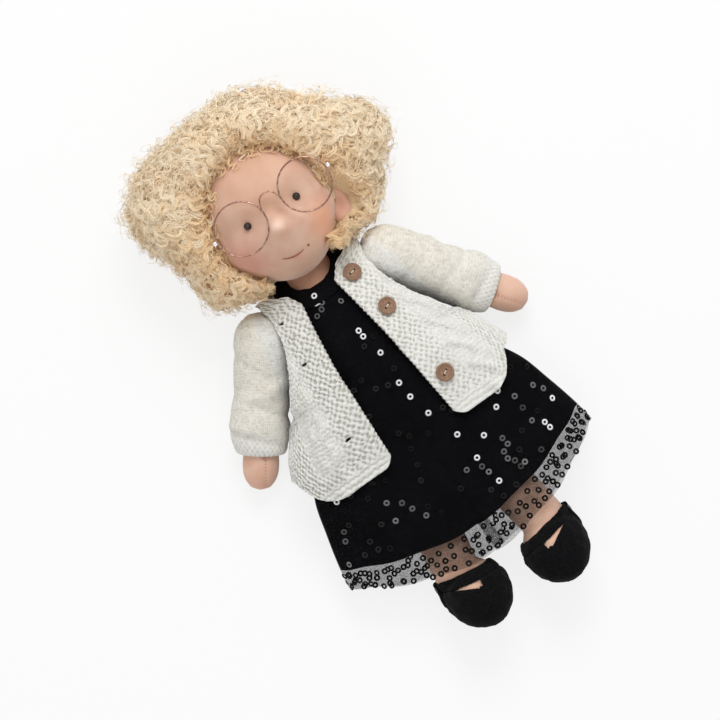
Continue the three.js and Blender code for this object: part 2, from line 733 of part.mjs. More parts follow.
function leg( name, side, shorter ) {

	const hip = hipAt( side );
	const ankle = v( side * ankleX, ankleY + shorter, ankleZ );
	const length = hip.distanceTo( ankle );
	const drop = Math.asin( ( hip.z - ankle.z ) / length );
	const splay = Math.atan2( ankleX - hipX, hip.y - ankle.y );
	const frame = frameAt( hip, new THREE.Euler( drop, 0, side * splay, 'ZYX' ) );
	const foot = new THREE.Matrix4().makeRotationFromEuler( new THREE.Euler(
		degrees( footPoint ) - Math.PI / 2, 0, - side * degrees( footToeIn ), 'ZYX' ) );
	foot.setPosition( - side * footInward, - length - footDrop, footForward );
	const placedFoot = ( extra ) => footForm( extra ).applyMatrix4( foot );
	const limb = ( inset ) => join( legForm( length, inset ), placedFoot( - inset ) );
	const mouth = new THREE.CylinderGeometry( stuffingMouth, stuffingMouth, hipRadius, limbInnerSides )
		.translate( 0, hipRadius, 0 );
	add( `${ name }_leg_skin`, cut( limb( 0 ), limb( skinWall ), mouth ), jersey, frame );
	add( `${ name }_leg_stuffing`, limb( skinWall + clothGap ), wool, frame );

	// Shoe: a felt upper, open at the ankle and notched under the strap, on a flat oval sole
	const shoeTop = - length - strapWidth - clothGap;
	const aboveShoe = box( v( - overrun, shoeTop, - overrun ), v( overrun, overrun, overrun ) );
	const outerFoot = footHalfHeight + clothGap + feltWall;
	const soleFace = outerFoot - soleInset;
	const soleShare = Math.sqrt( 1 - ( soleFace / outerFoot ) ** 2 );
	add( `${ name }_shoe_upper`, cut( placedFoot( clothGap + feltWall ), placedFoot( clothGap ),
		legForm( length, - clothGap ), aboveShoe, notch( side, shoeTop ) ), felt, frame );
	const soleOutline = new THREE.Shape().absellipse( 0, 0, ( footHalfWidth + clothGap + feltWall ) * soleShare,
		( footHalfLength + clothGap + feltWall ) * soleShare, 0, 2 * Math.PI );
	const sole = new THREE.ExtrudeGeometry( soleOutline, {
		depth: soleWall, bevelEnabled: false, curveSegments: limbInnerSides
	} ).translate( 0, 0, - soleFace - clothGap - soleWall );
	add( `${ name }_shoe_sole`, sole.applyMatrix4( foot ), felt, frame );

	// Strap round the front of the ankle, sewn on the inner side, with a press stud on the outer
	const outer = ankleRadius + clothGap + strapThickness;
	const band = box( v( - overrun, - length - strapWidth, 0 ), v( overrun, - length, overrun ) );
	const strap = cut( common( limb( - clothGap - strapThickness ), band ), limb( - clothGap ) );
	add( `${ name }_shoe_strap`, strap, felt, frame );
	const facet = Math.PI / limbSides;
	const studAt = outer * Math.cos( facet ) + clothGap + studHeight / 2;
	const stud = new THREE.CylinderGeometry( studRadius, studRadius, studHeight, limbInnerSides )
		.rotateZ( Math.PI / 2 ).translate( side * studAt, - length - strapWidth / 2, 0 ).rotateY( - side * facet );
	add( `${ name }_shoe_stud`, stud, pressStud, frame );

}

// A three cornered notch in the front of the shoe, deepest on its inner side
const notchInnerShare = 0.55;

function notch( side, top ) {

	const inner = - side * vampGapWidth * notchInnerShare;
	const outer = side * vampGapWidth * ( 1 - notchInnerShare );
	const outline = new THREE.Shape( [
		new THREE.Vector2( inner, overrun ), new THREE.Vector2( inner, - vampGap ),
		new THREE.Vector2( outer, 0 ), new THREE.Vector2( outer, overrun )
	] );
	return new THREE.ExtrudeGeometry( outline, { depth: overrun, bevelEnabled: false } ).translate( 0, top, 0 );

}

leg( 'left', sides.left, 0 );
leg( 'right', sides.right, rightLegShorter );

// Dress. The bodice follows the torso; the skirts share one flared form, each at its own distance out
const bodiceOut = clothGap + dressStack;
const neckholeCut = stalk( neckRadius + neckholeRoom, neckLength * Math.tan( degrees( nodLimit ) ) )
	.translate( neckPivot.x, neckPivot.y, neckPivot.z );
const belowWaist = box( v( - overrun, - overrun * 2, - overrun ),
	v( overrun, waistY + clothGap, overrun * 2 ) );
const armBalls = Object.values( sides ).map( ( side ) =>
	socket( sleeveRadius, v( side * shoulderX, shoulderY, shoulderZ ), limbSides ) );
const bodice = cut( torsoForm( - bodiceOut ), torsoForm( - clothGap ), belowWaist, neckholeCut, ...armBalls );
add( 'dress_bodice', bodice, liningCloth );

// Shares of the way from the waist to the side of the lining's hem, with the skirt's half-width there
const waistHalf = torsoHalfWidth + clothGap;
const skirtLength = waistY - skirtSideY;
const skirtWidthShares = [ [ 0, 0 ], [ 0.12, 0.3 ], [ 0.3, 0.56 ], [ 0.5, 0.77 ], [ 1, 1 ], [ 1.3, 1.07 ] ];
const skirtWidths = skirtWidthShares.map( ( [ down, out ] ) =>
	[ down, THREE.MathUtils.lerp( waistHalf, skirtHalfWidth, out ) ] );
const waistTop = bodyZ + torsoHalfDepth + clothGap;
const waistBottom = bodyZ - torsoHalfDepth - clothGap;
const skirtTopShares = [ [ 0, 0 ], [ 0.16, 0 ], [ 0.35, 0.15 ], [ 0.6, 0.5 ], [ 1, 1 ], [ 1.3, 1.06 ] ];
const skirtTops = skirtTopShares.map( ( [ down, fall ] ) =>
	[ down, THREE.MathUtils.lerp( waistTop, skirtHemTop, fall ) ] );
const hemBottom = floorGap + dressStack;
const skirtBottomShares = [ [ 0, 0 ], [ 0.64, 0 ], [ 0.8, 1 ], [ 1.3, 1 ] ];
const skirtBottoms = skirtBottomShares.map( ( [ down, fall ] ) =>
	[ down, THREE.MathUtils.lerp( waistBottom, hemBottom, fall ) ] );
const skirtStationShares = [ 0, 0.12, 0.3, 0.5, 0.66, 0.8, 1 ];
const dropStartShare = 0.45;
const foldStartShare = 0.66;
const dropPower = 1.3;
const past = ( start, share ) => Math.max( 0, ( share - start ) / ( 1 - start ) );

function skirtRing( share, out ) {

	const top = along( skirtTops, share ) + out;
	const bottom = along( skirtBottoms, share ) - out;
	const half = along( skirtWidths, share ) + out;
	const drop = skirtCentreDrop * past( dropStartShare, share ) ** dropPower;
	const fold = foldHeight * past( foldStartShare, share );
	const place = { y: waistY - share * skirtLength, z: ( top + bottom ) / 2, w: half, d: ( top - bottom ) / 2 };
	return ring( place, clothSides, ( p ) => {

		const up = Math.max( 0, ( p.z - bodyZ ) / ( top - bodyZ ) );
		p.y -= drop * ( 1 - ( p.x / half ) ** 2 );
		p.z += fold * up * ( 1 + Math.cos( foldCount * Math.PI * p.x / half ) ) / 2;
		return p;

	} );

}

// A tube of cloth. Both faces are split along the same diagonals, so that layers keep their gaps
function tubeOfCloth( stations, outer, inner ) {

	const rings = [ ...stations.map( outer ), ...stations.map( inner ) ];
	const turn = ( row, i ) => row * clothSides + i % clothSides;
	const last = stations.length - 1;
	const index = [];
	const quad = ( a, b, c, d ) => index.push( a, b, c, a, c, d );
	for ( let i = 0; i < clothSides; i ++ ) {

		for ( let row = 0; row < last; row ++ ) {

			quad( turn( row, i ), turn( row + 1, i ), turn( row + 1, i + 1 ), turn( row, i + 1 ) );
			const back = row + stations.length;
			index.push( turn( back, i ), turn( back + 1, i + 1 ), turn( back + 1, i ) );
			index.push( turn( back, i ), turn( back, i + 1 ), turn( back + 1, i + 1 ) );

		}

		const [ top, hem ] = [ stations.length, stations.length + last ];
		quad( turn( 0, i ), turn( 0, i + 1 ), turn( top, i + 1 ), turn( top, i ) );
		quad( turn( last, i ), turn( hem, i ), turn( hem, i + 1 ), turn( last, i + 1 ) );

	}

	return new THREE.BufferGeometry().setFromPoints( rings.flat() ).setIndex( index );

}

const overlayStationShares = [ ...skirtStationShares, 1 + overlayExtra / skirtLength ];
add( 'skirt_lining', tubeOfCloth( skirtStationShares, ( t ) => skirtRing( t, liningWall ),
	( t ) => skirtRing( t, 0 ) ), liningCloth );
add( 'skirt_overlay', tubeOfCloth( overlayStationShares, ( t ) => skirtRing( t, dressStack ),
	( t ) => skirtRing( t, dressStack - tulleWall ) ), tulle );

// Cardigan. Shares of the way up from its hem, with the shares of each side's reach there
const cardiganShares = [
	[ - 0.06, 1.05, 1.15 ], [ 0.17, 1, 1.04 ], [ 0.31, 0.9, 0.94 ], [ 0.44, 0.79, 0.84 ], [ 0.64, 0.69, 0.75 ],
	[ 0.84, 0.65, 0.71 ], [ 0.94, 0.57, 0.62 ], [ 1, 0.49, 0.53 ]
];
const cardiganY = ( up ) => THREE.MathUtils.lerp( cardiganHem, cardiganTop, up );
const rightHalves = cardiganShares.map( ( [ up, share ] ) => [ cardiganY( up ), share * rightFront.reach ] );
const leftHalves = cardiganShares.map( ( [ up, , share ] ) => [ cardiganY( up ), share * leftFront.reach ] );
const overSkirt = skirtStationShares.map( ( share ) => waistY - share * skirtLength )
	.filter( ( y ) => y > cardiganY( cardiganShares[ 0 ][ 0 ] ) ).reverse();
const [ chestShare, shoulderShare ] = [ 0.64, 0.86 ];
const cardiganStations = [
	rightHalves[ 0 ][ 0 ], ...overSkirt, cardiganY( chestShare ), cardiganY( shoulderShare ), torsoAbove
];
const cardiganOut = cardiganEase + knitWall + dressStack;

// The height of the cardigan's top and the height that its back curves down to, at a place up the body
function cardiganTopZ( y ) {

	if ( y < waistY ) return along( skirtTops, ( waistY - y ) / skirtLength ) + cardiganOut;
	const depthTable = torsoShares.map( ( [ length, , depth ] ) => [ length, depth ] );
	const depth = along( depthTable, Math.min( 1, ( y + torsoBelow ) / torsoLength ) );
	const full = bodyZ + depth * torsoHalfDepth + clothGap + cardiganOut;
	if ( y < torsoAbove ) return full;
	const past = ( y - torsoAbove ) / ( cardiganTop - torsoAbove );
	return THREE.MathUtils.lerp( full, bodyZ + shoulderSeamHalf + knitWall, past );

}

function cardiganLowZ( y ) {

	const curve = Math.max( 0, ( y - shoulderY ) / ( cardiganTop - shoulderY ) ) ** 3;
	return THREE.MathUtils.lerp( - backSink, bodyZ - shoulderSeamHalf - knitWall, curve );

}

function cardiganRing( y, inset ) {

	const [ top, low ] = [ cardiganTopZ( y ), cardiganLowZ( y ) ];
	const place = { y, z: ( top + low ) / 2, w: 1, d: ( top - low ) / 2 - inset };
	return ring( place, clothSides, ( p ) => {

		p.x *= along( p.x < 0 ? rightHalves : leftHalves, y ) - inset;
		p.z = Math.max( inset, p.z );
		return p;

	} );

}

// The cardigan's outer surface over a place, and the way it faces there
function frontZ( x, y ) {

	const [ top, low ] = [ cardiganTopZ( y ), cardiganLowZ( y ) ];
	const half = along( x < 0 ? rightHalves : leftHalves, y );
	return ( top + low ) / 2 + ( top - low ) / 2 * Math.sqrt( 1 - ( x / half ) ** 2 );

}

const cardiganSolid = ( inset ) =>
	loft( [ ...cardiganStations, cardiganTop - inset ].map( ( y ) => cardiganRing( y, inset ) ) );

// The room that a sleeve sweeps as the arm swings: a ball and a cone, turned about the shoulder's axis
function armSweep( side ) {

	const lean = Math.asin( Math.sin( degrees( armSplay ) ) * Math.cos( armDrop ) );
	const radius = ( sleeveRadius + turnGap ) / Math.cos( Math.PI / clothSides );
	const profile = [];
	for ( let i = 0; i <= quarterSteps; i ++ ) {

		const angle = lean * i / quarterSteps;
		profile.push( new THREE.Vector2( radius * Math.sin( angle ), - radius * Math.cos( angle ) ) );

	}

	const edge = profile[ profile.length - 1 ];
	profile.push( new THREE.Vector2( far, edge.y + ( far - edge.x ) * Math.tan( lean ) ) );
	profile.push( new THREE.Vector2( far, far * 2 ), new THREE.Vector2( 0, far * 2 ) );
	return new THREE.LatheGeometry( profile, clothSides ).rotateZ( - side * Math.PI / 2 )
		.translate( side * shoulderX, shoulderY, shoulderZ );

}

// A front's outline seen from above, from the neck down its edge, round the hem and up its side
function frontOutline( side, edge ) {

	const at = ( x, y ) => new THREE.Vector2( side * x, y );
	const shape = new THREE.Shape();
	shape.moveTo( side * edge.neck, frontNeckY );
	shape.splineThru( [ at( edge.middle, frontMiddleY ), at( edge.hem, cardiganHem + hemCorner ) ] );
	shape.quadraticCurveTo( side * edge.hem, cardiganHem, side * ( edge.hem + hemCorner ), cardiganHem );
	shape.lineTo( side * edge.hemReach, cardiganHem );
	shape.quadraticCurveTo( side * edge.reach, cardiganHem + hemCorner, side * edge.reach, cardiganHemSideY );
	shape.lineTo( side * ( edge.reach + overrun ), cardiganHemSideY );
	shape.lineTo( side * ( edge.reach + overrun ), shoulderY );
	shape.lineTo( side * shoulderX, shoulderY );
	shape.lineTo( side * shoulderX, cardiganTop + overrun );
	shape.lineTo( side * cardiganNeckOuter, cardiganTop + overrun );
	shape.lineTo( side * cardiganNeckOuter, cardiganTop );
	shape.lineTo( side * cardiganNeckHalf, torsoAbove );
	return shape;

}

const upright = ( shape ) =>
	new THREE.ExtrudeGeometry( shape, { depth: overrun * 2, bevelEnabled: false, curveSegments: quarterSteps } );
const sweeps = Object.values( sides ).map( armSweep );
const cardiganShell = cut( cardiganSolid( 0 ), cardiganSolid( knitWall ), neckholeCut, ...sweeps,
	box( v( - far, - far, - far ), v( far, cardiganHem, far ) ) );
const halfGap = clothGap / 2;
const belowSeam = box( v( - far, - far, - far ), v( far, far, sideSeamRise - halfGap ) );
const yoke = ( gap ) => box( v( - far, shoulderY - gap, - far ), v( far, far, bodyZ + gap ) );
const aboveSeam = box( v( - far, - far, sideSeamRise + halfGap ), v( far, far, far ) );
const backHalf = join( belowSeam, yoke( - halfGap ) );
const frontHalf = cut( aboveSeam, yoke( halfGap ) );
const backOutline = new THREE.Shape( [
	v( - rightFront.reach, cardiganHemSideY ), v( - rightFront.hemReach, cardiganHem ),
	v( leftFront.hemReach, cardiganHem ), v( leftFront.reach, cardiganHemSideY ),
	v( leftFront.reach, cardiganTop ), v( - rightFront.reach, cardiganTop )
] );
add( 'cardigan_back', common( cardiganShell, backHalf, upright( backOutline ) ), knit );
const buttonholes = [];
const frontEdgeX = ( edge, y ) =>
	along( [ [ cardiganHem, edge.hem ], [ frontMiddleY, edge.middle ], [ frontNeckY, edge.neck ] ], y );
for ( const y of buttonYs ) {

	const x = - frontEdgeX( rightFront, y ) - buttonholeInset;
	buttonholes.push( box( v( x - buttonholeLength / 2, y - buttonholeWidth / 2, 0 ),
		v( x + buttonholeLength / 2, y + buttonholeWidth / 2, overrun * 2 ) ) );

}

const frontPanel = ( side, edge ) =>
	common( cardiganShell, frontHalf, upright( frontOutline( side, edge ) ) );
add( 'cardigan_right_front', cut( frontPanel( sides.right, rightFront ), ...buttonholes ), knit );
add( 'cardigan_left_front', frontPanel( sides.left, leftFront ), knit );

// Buttons: dished wooden discs with two eyes, flat on the left front
const buttonShares = [
	[ 0, 0 ], [ 0.85, 0 ], [ 1, 0.3 ], [ 1, 0.8 ], [ 0.93, 1 ], [ 0.78, 1 ], [ 0.68, 0.75 ], [ 0, 0.75 ]
];
const buttonProfile = buttonShares.map( ( [ across, up ] ) =>
	new THREE.Vector2( across * buttonRadius, up * buttonThickness ) );
buttonYs.forEach( ( y, i ) => {

	const x = frontEdgeX( leftFront, y ) + buttonInset;
	const across = ( frontZ( x + buttonRadius, y ) - frontZ( x - buttonRadius, y ) ) / 2 / buttonRadius;
	const up = ( frontZ( x, y + buttonRadius ) - frontZ( x, y - buttonRadius ) ) / 2 / buttonRadius;
	const eye = new THREE.CylinderGeometry( buttonEyeRadius, buttonEyeRadius, overrun, holeSides );
	const eyes = [ - 1, 1 ].map( ( end ) => eye.clone().translate( end * buttonEyeSpacing / 2, 0, 0 ) );
	const facing = new THREE.Euler( Math.atan( up ), - Math.atan( across ), 0 );
	const frame = frameAt( v( x, y, frontZ( x, y ) + clothGap ), facing );
	const disc = cut( new THREE.LatheGeometry( buttonProfile, limbSides ), ...eyes ).rotateX( Math.PI / 2 );
	add( `button_${ i + 1 }`, disc, wood, frame );

} );

export default group;
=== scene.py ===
"""A twelve inch waldorf doll lying on its back, in a knitted cardigan, a sequinned dress and felt shoes.

Lengths are in metres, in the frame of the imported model: X to the doll's left, Y up its body, Z out of
its chest. The pieces follow in the order in which such a doll is made and dressed.
"""

import math
import random

import bmesh
import bpy
import numpy as np
from mathutils import Euler, Matrix, Vector, noise


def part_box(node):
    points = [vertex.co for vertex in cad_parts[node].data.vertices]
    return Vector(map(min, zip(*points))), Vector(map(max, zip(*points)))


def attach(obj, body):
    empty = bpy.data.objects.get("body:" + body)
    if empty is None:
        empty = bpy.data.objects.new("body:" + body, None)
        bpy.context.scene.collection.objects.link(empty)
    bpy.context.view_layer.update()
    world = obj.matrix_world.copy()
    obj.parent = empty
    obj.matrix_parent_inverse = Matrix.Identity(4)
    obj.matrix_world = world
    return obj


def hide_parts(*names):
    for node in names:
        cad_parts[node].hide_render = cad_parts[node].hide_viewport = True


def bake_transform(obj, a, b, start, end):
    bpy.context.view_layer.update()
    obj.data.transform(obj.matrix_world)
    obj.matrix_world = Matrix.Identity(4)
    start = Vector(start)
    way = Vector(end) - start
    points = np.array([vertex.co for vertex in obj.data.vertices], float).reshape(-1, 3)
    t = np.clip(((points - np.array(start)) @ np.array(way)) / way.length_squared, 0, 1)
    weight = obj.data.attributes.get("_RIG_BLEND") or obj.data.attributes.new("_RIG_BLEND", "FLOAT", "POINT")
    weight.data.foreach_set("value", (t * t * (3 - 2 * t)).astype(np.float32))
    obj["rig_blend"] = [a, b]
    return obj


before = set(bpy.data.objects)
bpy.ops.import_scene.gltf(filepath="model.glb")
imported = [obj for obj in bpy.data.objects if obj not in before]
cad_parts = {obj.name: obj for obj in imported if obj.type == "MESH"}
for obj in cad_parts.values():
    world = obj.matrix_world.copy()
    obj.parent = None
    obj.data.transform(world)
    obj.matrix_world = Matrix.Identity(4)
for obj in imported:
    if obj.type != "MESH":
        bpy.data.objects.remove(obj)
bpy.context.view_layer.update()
random.seed(11)
noise.seed_set(1795885222)

# Camera. It looks straight down on the doll, which lies across the picture with its head up and to the
# left. A long lens far off keeps the near and far parts of the doll at one scale.
MM = 0.001
SIDES = (("left", 1), ("right", -1))
VIEW_WIDTH = 360 * MM
VIEW_MIDDLE = Vector((-3.75, 0)) * MM
VIEW_TURN = math.radians(-35.3)
CAMERA_HEIGHT = 4.0
TRUE_HEIGHT = 35 * MM

camera = bpy.data.objects.new("camera", bpy.data.cameras.new("camera"))
camera.data.lens = camera.data.sensor_width * (CAMERA_HEIGHT - TRUE_HEIGHT) / VIEW_WIDTH
camera.data.clip_end = CAMERA_HEIGHT * 2
camera.location = (*VIEW_MIDDLE, CAMERA_HEIGHT)
camera.rotation_euler = (0, 0, VIEW_TURN)
bpy.context.scene.collection.objects.link(camera)
bpy.context.scene.camera = camera

# Studio light. A broad soft lamp stands beyond the top of the picture, a weaker one fills from below,
# and a pale room lights the rest.
KEY_PLACE = Vector((0.62, 0.9, 1.15))
KEY_SIZE = 0.9
KEY_POWER = 15.5
FILL_PLACE = Vector((-0.9, -0.5, 1.2))
FILL_SIZE = 1.4
FILL_POWER = 4.0
ROOM_LIGHT = 0.55


def soft_lamp(name, place, size, power):
    """A square lamp at a place, turned towards the doll."""
    lamp = bpy.data.objects.new(name, bpy.data.lights.new(name, "AREA"))
    lamp.data.size = size
    lamp.data.energy = power
    lamp.location = place
    lamp.rotation_euler = (-place).to_track_quat("-Z", "Y").to_euler()
    bpy.context.scene.collection.objects.link(lamp)


soft_lamp("key_lamp", KEY_PLACE, KEY_SIZE, KEY_POWER)
soft_lamp("fill_lamp", FILL_PLACE, FILL_SIZE, FILL_POWER)
bpy.context.scene.view_settings.view_transform = "Standard"


def plug(tree, value, socket):
    """Links an output socket to a node's input, or sets the input's own value."""
    if isinstance(value, bpy.types.NodeSocket):
        tree.links.new(value, socket)
    else:
        socket.default_value = value


def add_node(tree, kind, options=None, **inputs):
    """A shader node of that kind, with its options and its named or numbered inputs set."""
    made = tree.nodes.new("ShaderNode" + kind)
    for option, value in (options or {}).items():
        setattr(made, option, value)
    for name, value in inputs.items():
        key = int(name[1:]) if name[1:].isdigit() else name.replace("_", " ")
        plug(tree, value, made.inputs[key])
    return made


def any_of(tree, *outputs):
    """1 where any of those yes or no outputs is 1."""
    total = outputs[0]
    for output in outputs[1:]:
        total = add_node(tree, "Math", {"operation": "MAXIMUM"}, _0=total, _1=output).outputs[0]
    return total


def seen_straight(tree):
    """1 for rays that see the surface, in a mirror or through glass too, and 0 for those that light."""
    path = add_node(tree, "LightPath").outputs
    return any_of(tree, path["Is Camera Ray"], path["Is Glossy Ray"], path["Is Transmission Ray"])


room = bpy.data.worlds.new("room")
bpy.context.scene.world = room
room.use_nodes = True
room_tree = room.node_tree
shown = add_node(room_tree, "Background", Strength=1.0)
lighting = room_tree.nodes["Background"]
lighting.inputs["Color"].default_value = (1, 1, 1, 1)
lighting.inputs["Strength"].default_value = ROOM_LIGHT
shown.inputs["Color"].default_value = (1, 1, 1, 1)
room_mix = add_node(room_tree, "MixShader", _0=seen_straight(room_tree), _1=lighting.outputs[0],
                    _2=shown.outputs[0])
plug(room_tree, room_mix.outputs[0], room_tree.nodes["World Output"].inputs["Surface"])

# Floor. A white sweep of paper that the doll lies on. Seen straight it is nearly white by itself, and
# it still takes the doll's shadow.
FLOOR_HALF = 3.0
FLOOR_DROP = 0.15 * MM
PAPER = (0.86, 0.86, 0.86, 1)
PAPER_GLOW_SHARE = 0.8


def link_mesh(name, shape, smooth=True):
    """Turns a bmesh into a linked object at the origin."""
    mesh = bpy.data.meshes.new(name)
    shape.to_mesh(mesh)
    shape.free()
    for face in mesh.polygons:
        face.use_smooth = smooth
    made = bpy.data.objects.new(name, mesh)
    bpy.context.scene.collection.objects.link(made)
    return made


paper = bmesh.new()
bmesh.ops.create_grid(paper, x_segments=2, y_segments=2, size=FLOOR_HALF)
bmesh.ops.translate(paper, verts=paper.verts, vec=(0, 0, -FLOOR_DROP))
floor = link_mesh("floor", paper, smooth=False)
floor_finish = bpy.data.materials.new("white_paper")
floor_finish.use_nodes = True
floor_tree = floor_finish.node_tree
floor_tree.nodes.remove(floor_tree.nodes["Principled BSDF"])
lit_paper = add_node(floor_tree, "BsdfDiffuse", Color=PAPER)
white = add_node(floor_tree, "Emission", Color=(1, 1, 1, 1), Strength=1.0)
glow = add_node(floor_tree, "Math", {"operation": "MULTIPLY"}, _0=seen_straight(floor_tree),
                _1=PAPER_GLOW_SHARE).outputs[0]
paper_mix = add_node(floor_tree, "MixShader", _0=glow, _1=lit_paper.outputs[0], _2=white.outputs[0])
plug(floor_tree, paper_mix.outputs[0], floor_tree.nodes["Material Output"].inputs["Surface"])
floor.data.materials.append(floor_finish)

# Wool filling. Combed fleece packed firm inside the skins: the body, the wound ball of the head, and the
# limbs. It is hidden once the doll is sewn up.
MERGE = 0.01 * MM
FLEECE = (0.82, 0.76, 0.64, 1)
FLEECE_CURL = 900


def surface(name, color, roughness, **sockets):
    """A material whose Principled shader has those values, with its node tree."""
    finish = bpy.data.materials.new(name)
    finish.use_nodes = True
    shader = finish.node_tree.nodes["Principled BSDF"]
    plug(finish.node_tree, color, shader.inputs["Base Color"])
    shader.inputs["Roughness"].default_value = roughness
    for socket, value in sockets.items():
        shader.inputs[socket.replace("_", " ")].default_value = value
    return finish, finish.node_tree, shader


def places(tree, scale=(1, 1, 1), turn=(0, 0, 0)):
    """Object coordinates, scaled and turned."""
    coordinates = add_node(tree, "TexCoord").outputs["Object"]
    return add_node(tree, "Mapping", Vector=coordinates, Scale=scale, Rotation=turn).outputs[0]


def noise_of(tree, scale, detail=2.0, distortion=0.0):
    """Soft noise over the piece, with that many spots to the metre."""
    return add_node(tree, "TexNoise", Vector=places(tree), Scale=scale, Detail=detail,
                    Distortion=distortion).outputs[0]


def two_tones(tree, share, first, second):
    """The two colours mixed by that share."""
    return add_node(tree, "Mix", {"data_type": "RGBA"}, _0=share, _6=first, _7=second).outputs[2]


def stretched(tree, value, low, high, to_low=0.0, to_high=1.0):
    """The value's range from low to high, taken to another range."""
    return add_node(tree, "MapRange", {"interpolation_type": "SMOOTHSTEP"}, Value=value, _1=low, _2=high,
                    _3=to_low, _4=to_high).outputs[0]


def raise_by(tree, shader, height, depth, strength=1.0, under=None):
    """A bump of that height and depth on the shader, over another bump if there is one."""
    bump = add_node(tree, "Bump", Height=height, Distance=depth, Strength=strength)
    if under is not None:
        plug(tree, under, bump.inputs["Normal"])
    plug(tree, bump.outputs[0], shader.inputs["Normal"])
    return bump.outputs[0]


fleece, fleece_tree, fleece_shader = surface("wool_fleece", FLEECE, 1.0, Sheen_Weight=0.4)
raise_by(fleece_tree, fleece_shader, noise_of(fleece_tree, FLEECE_CURL, 4.0), 0.6 * MM)


def soft_copy(node, rounds):
    """A rounded copy of a CAD node's solid, to stand for it."""
    shape = bmesh.new()
    shape.from_mesh(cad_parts[node].data)
    bmesh.ops.remove_doubles(shape, verts=shape.verts, dist=MERGE)
    bmesh.ops.subdivide_edges(shape, edges=shape.edges, cuts=1, use_grid_fill=True)
    for _ in range(rounds):
        bmesh.ops.smooth_vert(shape, verts=shape.verts, factor=0.3, use_axis_x=True, use_axis_y=True,
                              use_axis_z=True)
    return shape


def dressed(piece, finish, body, slot, *nodes):
    """Gives a finished piece its material, the body that it rides on and the nodes that it stands for."""
    piece.data.materials.clear()
    piece.data.materials.append(finish)
    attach(piece, body)
    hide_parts(*nodes)
    return piece


FILLED = [("torso_stuffing", "torso"), ("head_core", "head"), ("left_arm_stuffing", "left_arm"),
          ("right_arm_stuffing", "right_arm"), ("left_leg_stuffing", "left_leg"),
          ("right_leg_stuffing", "right_leg")]
for node, body in FILLED:
    filling = link_mesh(node + "_fleece", soft_copy(node, 2))
    dressed(filling, fleece, body, "wool", node)

# Torso and neck skins. Doll maker's cotton jersey, a fine close knit drawn tight over the wool, with the
# neck a firm rolled stalk. The neck is coloured all over with painted shadow from the chin.
PEACH = (0.74, 0.475, 0.35, 1)
PEACH_SHADE = (0.67, 0.395, 0.28, 1)
# The neck's two tones are painted shadow from the chin, much darker than the face's peach.
NECK_PAINTED_SHADOW = (0.44, 0.235, 0.155, 1)
NECK_PAINTED_SHADOW_DEEP = (0.37, 0.19, 0.12, 1)
JERSEY_WALE = 2 * math.pi / (20 * 0.45 * MM)


def jersey(name, tint=None):
    """Cotton jersey: fine upright wales, a soft bloom and slight changes of tone. tint adds the blushes, and
    the painted shade and highlights.
    """
    finish, tree, shader = surface(name, PEACH, 0.82, Sheen_Weight=0.25, Sheen_Roughness=0.6,
                                   Subsurface_Weight=0.12, Subsurface_Scale=2 * MM)
    shader.inputs["Subsurface Radius"].default_value = (1.0, 0.45, 0.3)
    patches = stretched(tree, noise_of(tree, 90, 3.0), 0.35, 0.7)
    color = two_tones(tree, patches, PEACH, PEACH_SHADE)
    wales = add_node(tree, "TexWave", {"bands_direction": "X"}, Vector=places(tree), Scale=JERSEY_WALE,
                     Distortion=1.2, Detail=1.0).outputs["Fac"]
    color = two_tones(tree, stretched(tree, wales, 0, 1, 0.0, 0.08), color, PEACH_SHADE)
    if tint:
        color = tint(tree, color)
    plug(tree, color, shader.inputs["Base Color"])
    fuzz = noise_of(tree, 2600, 3.0)
    under = raise_by(tree, shader, wales, 0.05 * MM, 0.5)
    raise_by(tree, shader, fuzz, 0.12 * MM, 0.6, under)
    return finish


skin = jersey("cotton_jersey")
torso = link_mesh("torso_jersey", soft_copy("torso_skin", 2))
dressed(torso, skin, "torso", "jersey", "torso_skin")
neck = link_mesh("neck_jersey_painted_shadow", soft_copy("neck_stalk", 2))
# Painted shadow from the chin darkens the whole neck, in two dark tones mixed by random patches.
neck_shadow_skin, neck_tree, neck_shader = surface("neck_jersey_painted_shadow", PEACH_SHADE, 0.9)
neck_patches = stretched(neck_tree, noise_of(neck_tree, 90, 3.0), 0.35, 0.7)
plug(neck_tree, two_tones(neck_tree, neck_patches, NECK_PAINTED_SHADOW, NECK_PAINTED_SHADOW_DEEP), neck_shader.inputs["Base Color"])
raise_by(neck_tree, neck_shader, noise_of(neck_tree, 2600, 3.0), 0.12 * MM, 0.6)
dressed(neck, neck_shadow_skin, "neck", "jersey", "neck_stalk")

# Head. Fine jersey over a wound ball of wool, with full cheeks, a sculpted nose and small dents round the
# eyes, blushed with crayon on the cheeks, the nose and the chin. Painted shade lies round the eyes, between
# the brows, beside the nose, at the face's edge and on and under the chin, with a painted highlight on the
# nose.
HEAD_MIDDLE = Vector((2.2, 86.6, 40.5)) * MM
HEAD_TILT = math.radians(3.4)
HEAD_HALF = Vector((30.2, 37.0, 31.0)) * MM
CHIN_HALF = 36.3 * MM
CHEEK_SHARE = 0.07
CHEEK_DROP = 13 * MM
CHEEK_SPREAD = 9 * MM
NOSE = Vector((-0.3, -9.4)) * MM
NOSE_HEIGHT = 5.5 * MM
NOSE_RADIUS = 6 * MM
BROW_DIP = 2 * MM
BROW_SPREAD = 7 * MM
EYE_DROP = 1.1 * MM
EYE_SHIFT = 1.1 * MM
EYE_SPACING = 28.4 * MM
EYE_RADIUS = 2.0 * MM
EYE_DENT = 0.7 * MM
EYE_DENT_RADIUS = 3.6 * MM
MOUTH_DROP = 24.6 * MM
MOUTH_SHIFT = -1.2 * MM
MOUTH_HALF = 5.8 * MM
MOUTH_SAG = 1.2 * MM
MOUTH_SLOPE = -0.12
MOUTH_DENT = 0.5 * MM
SKIN_FINENESS = 7
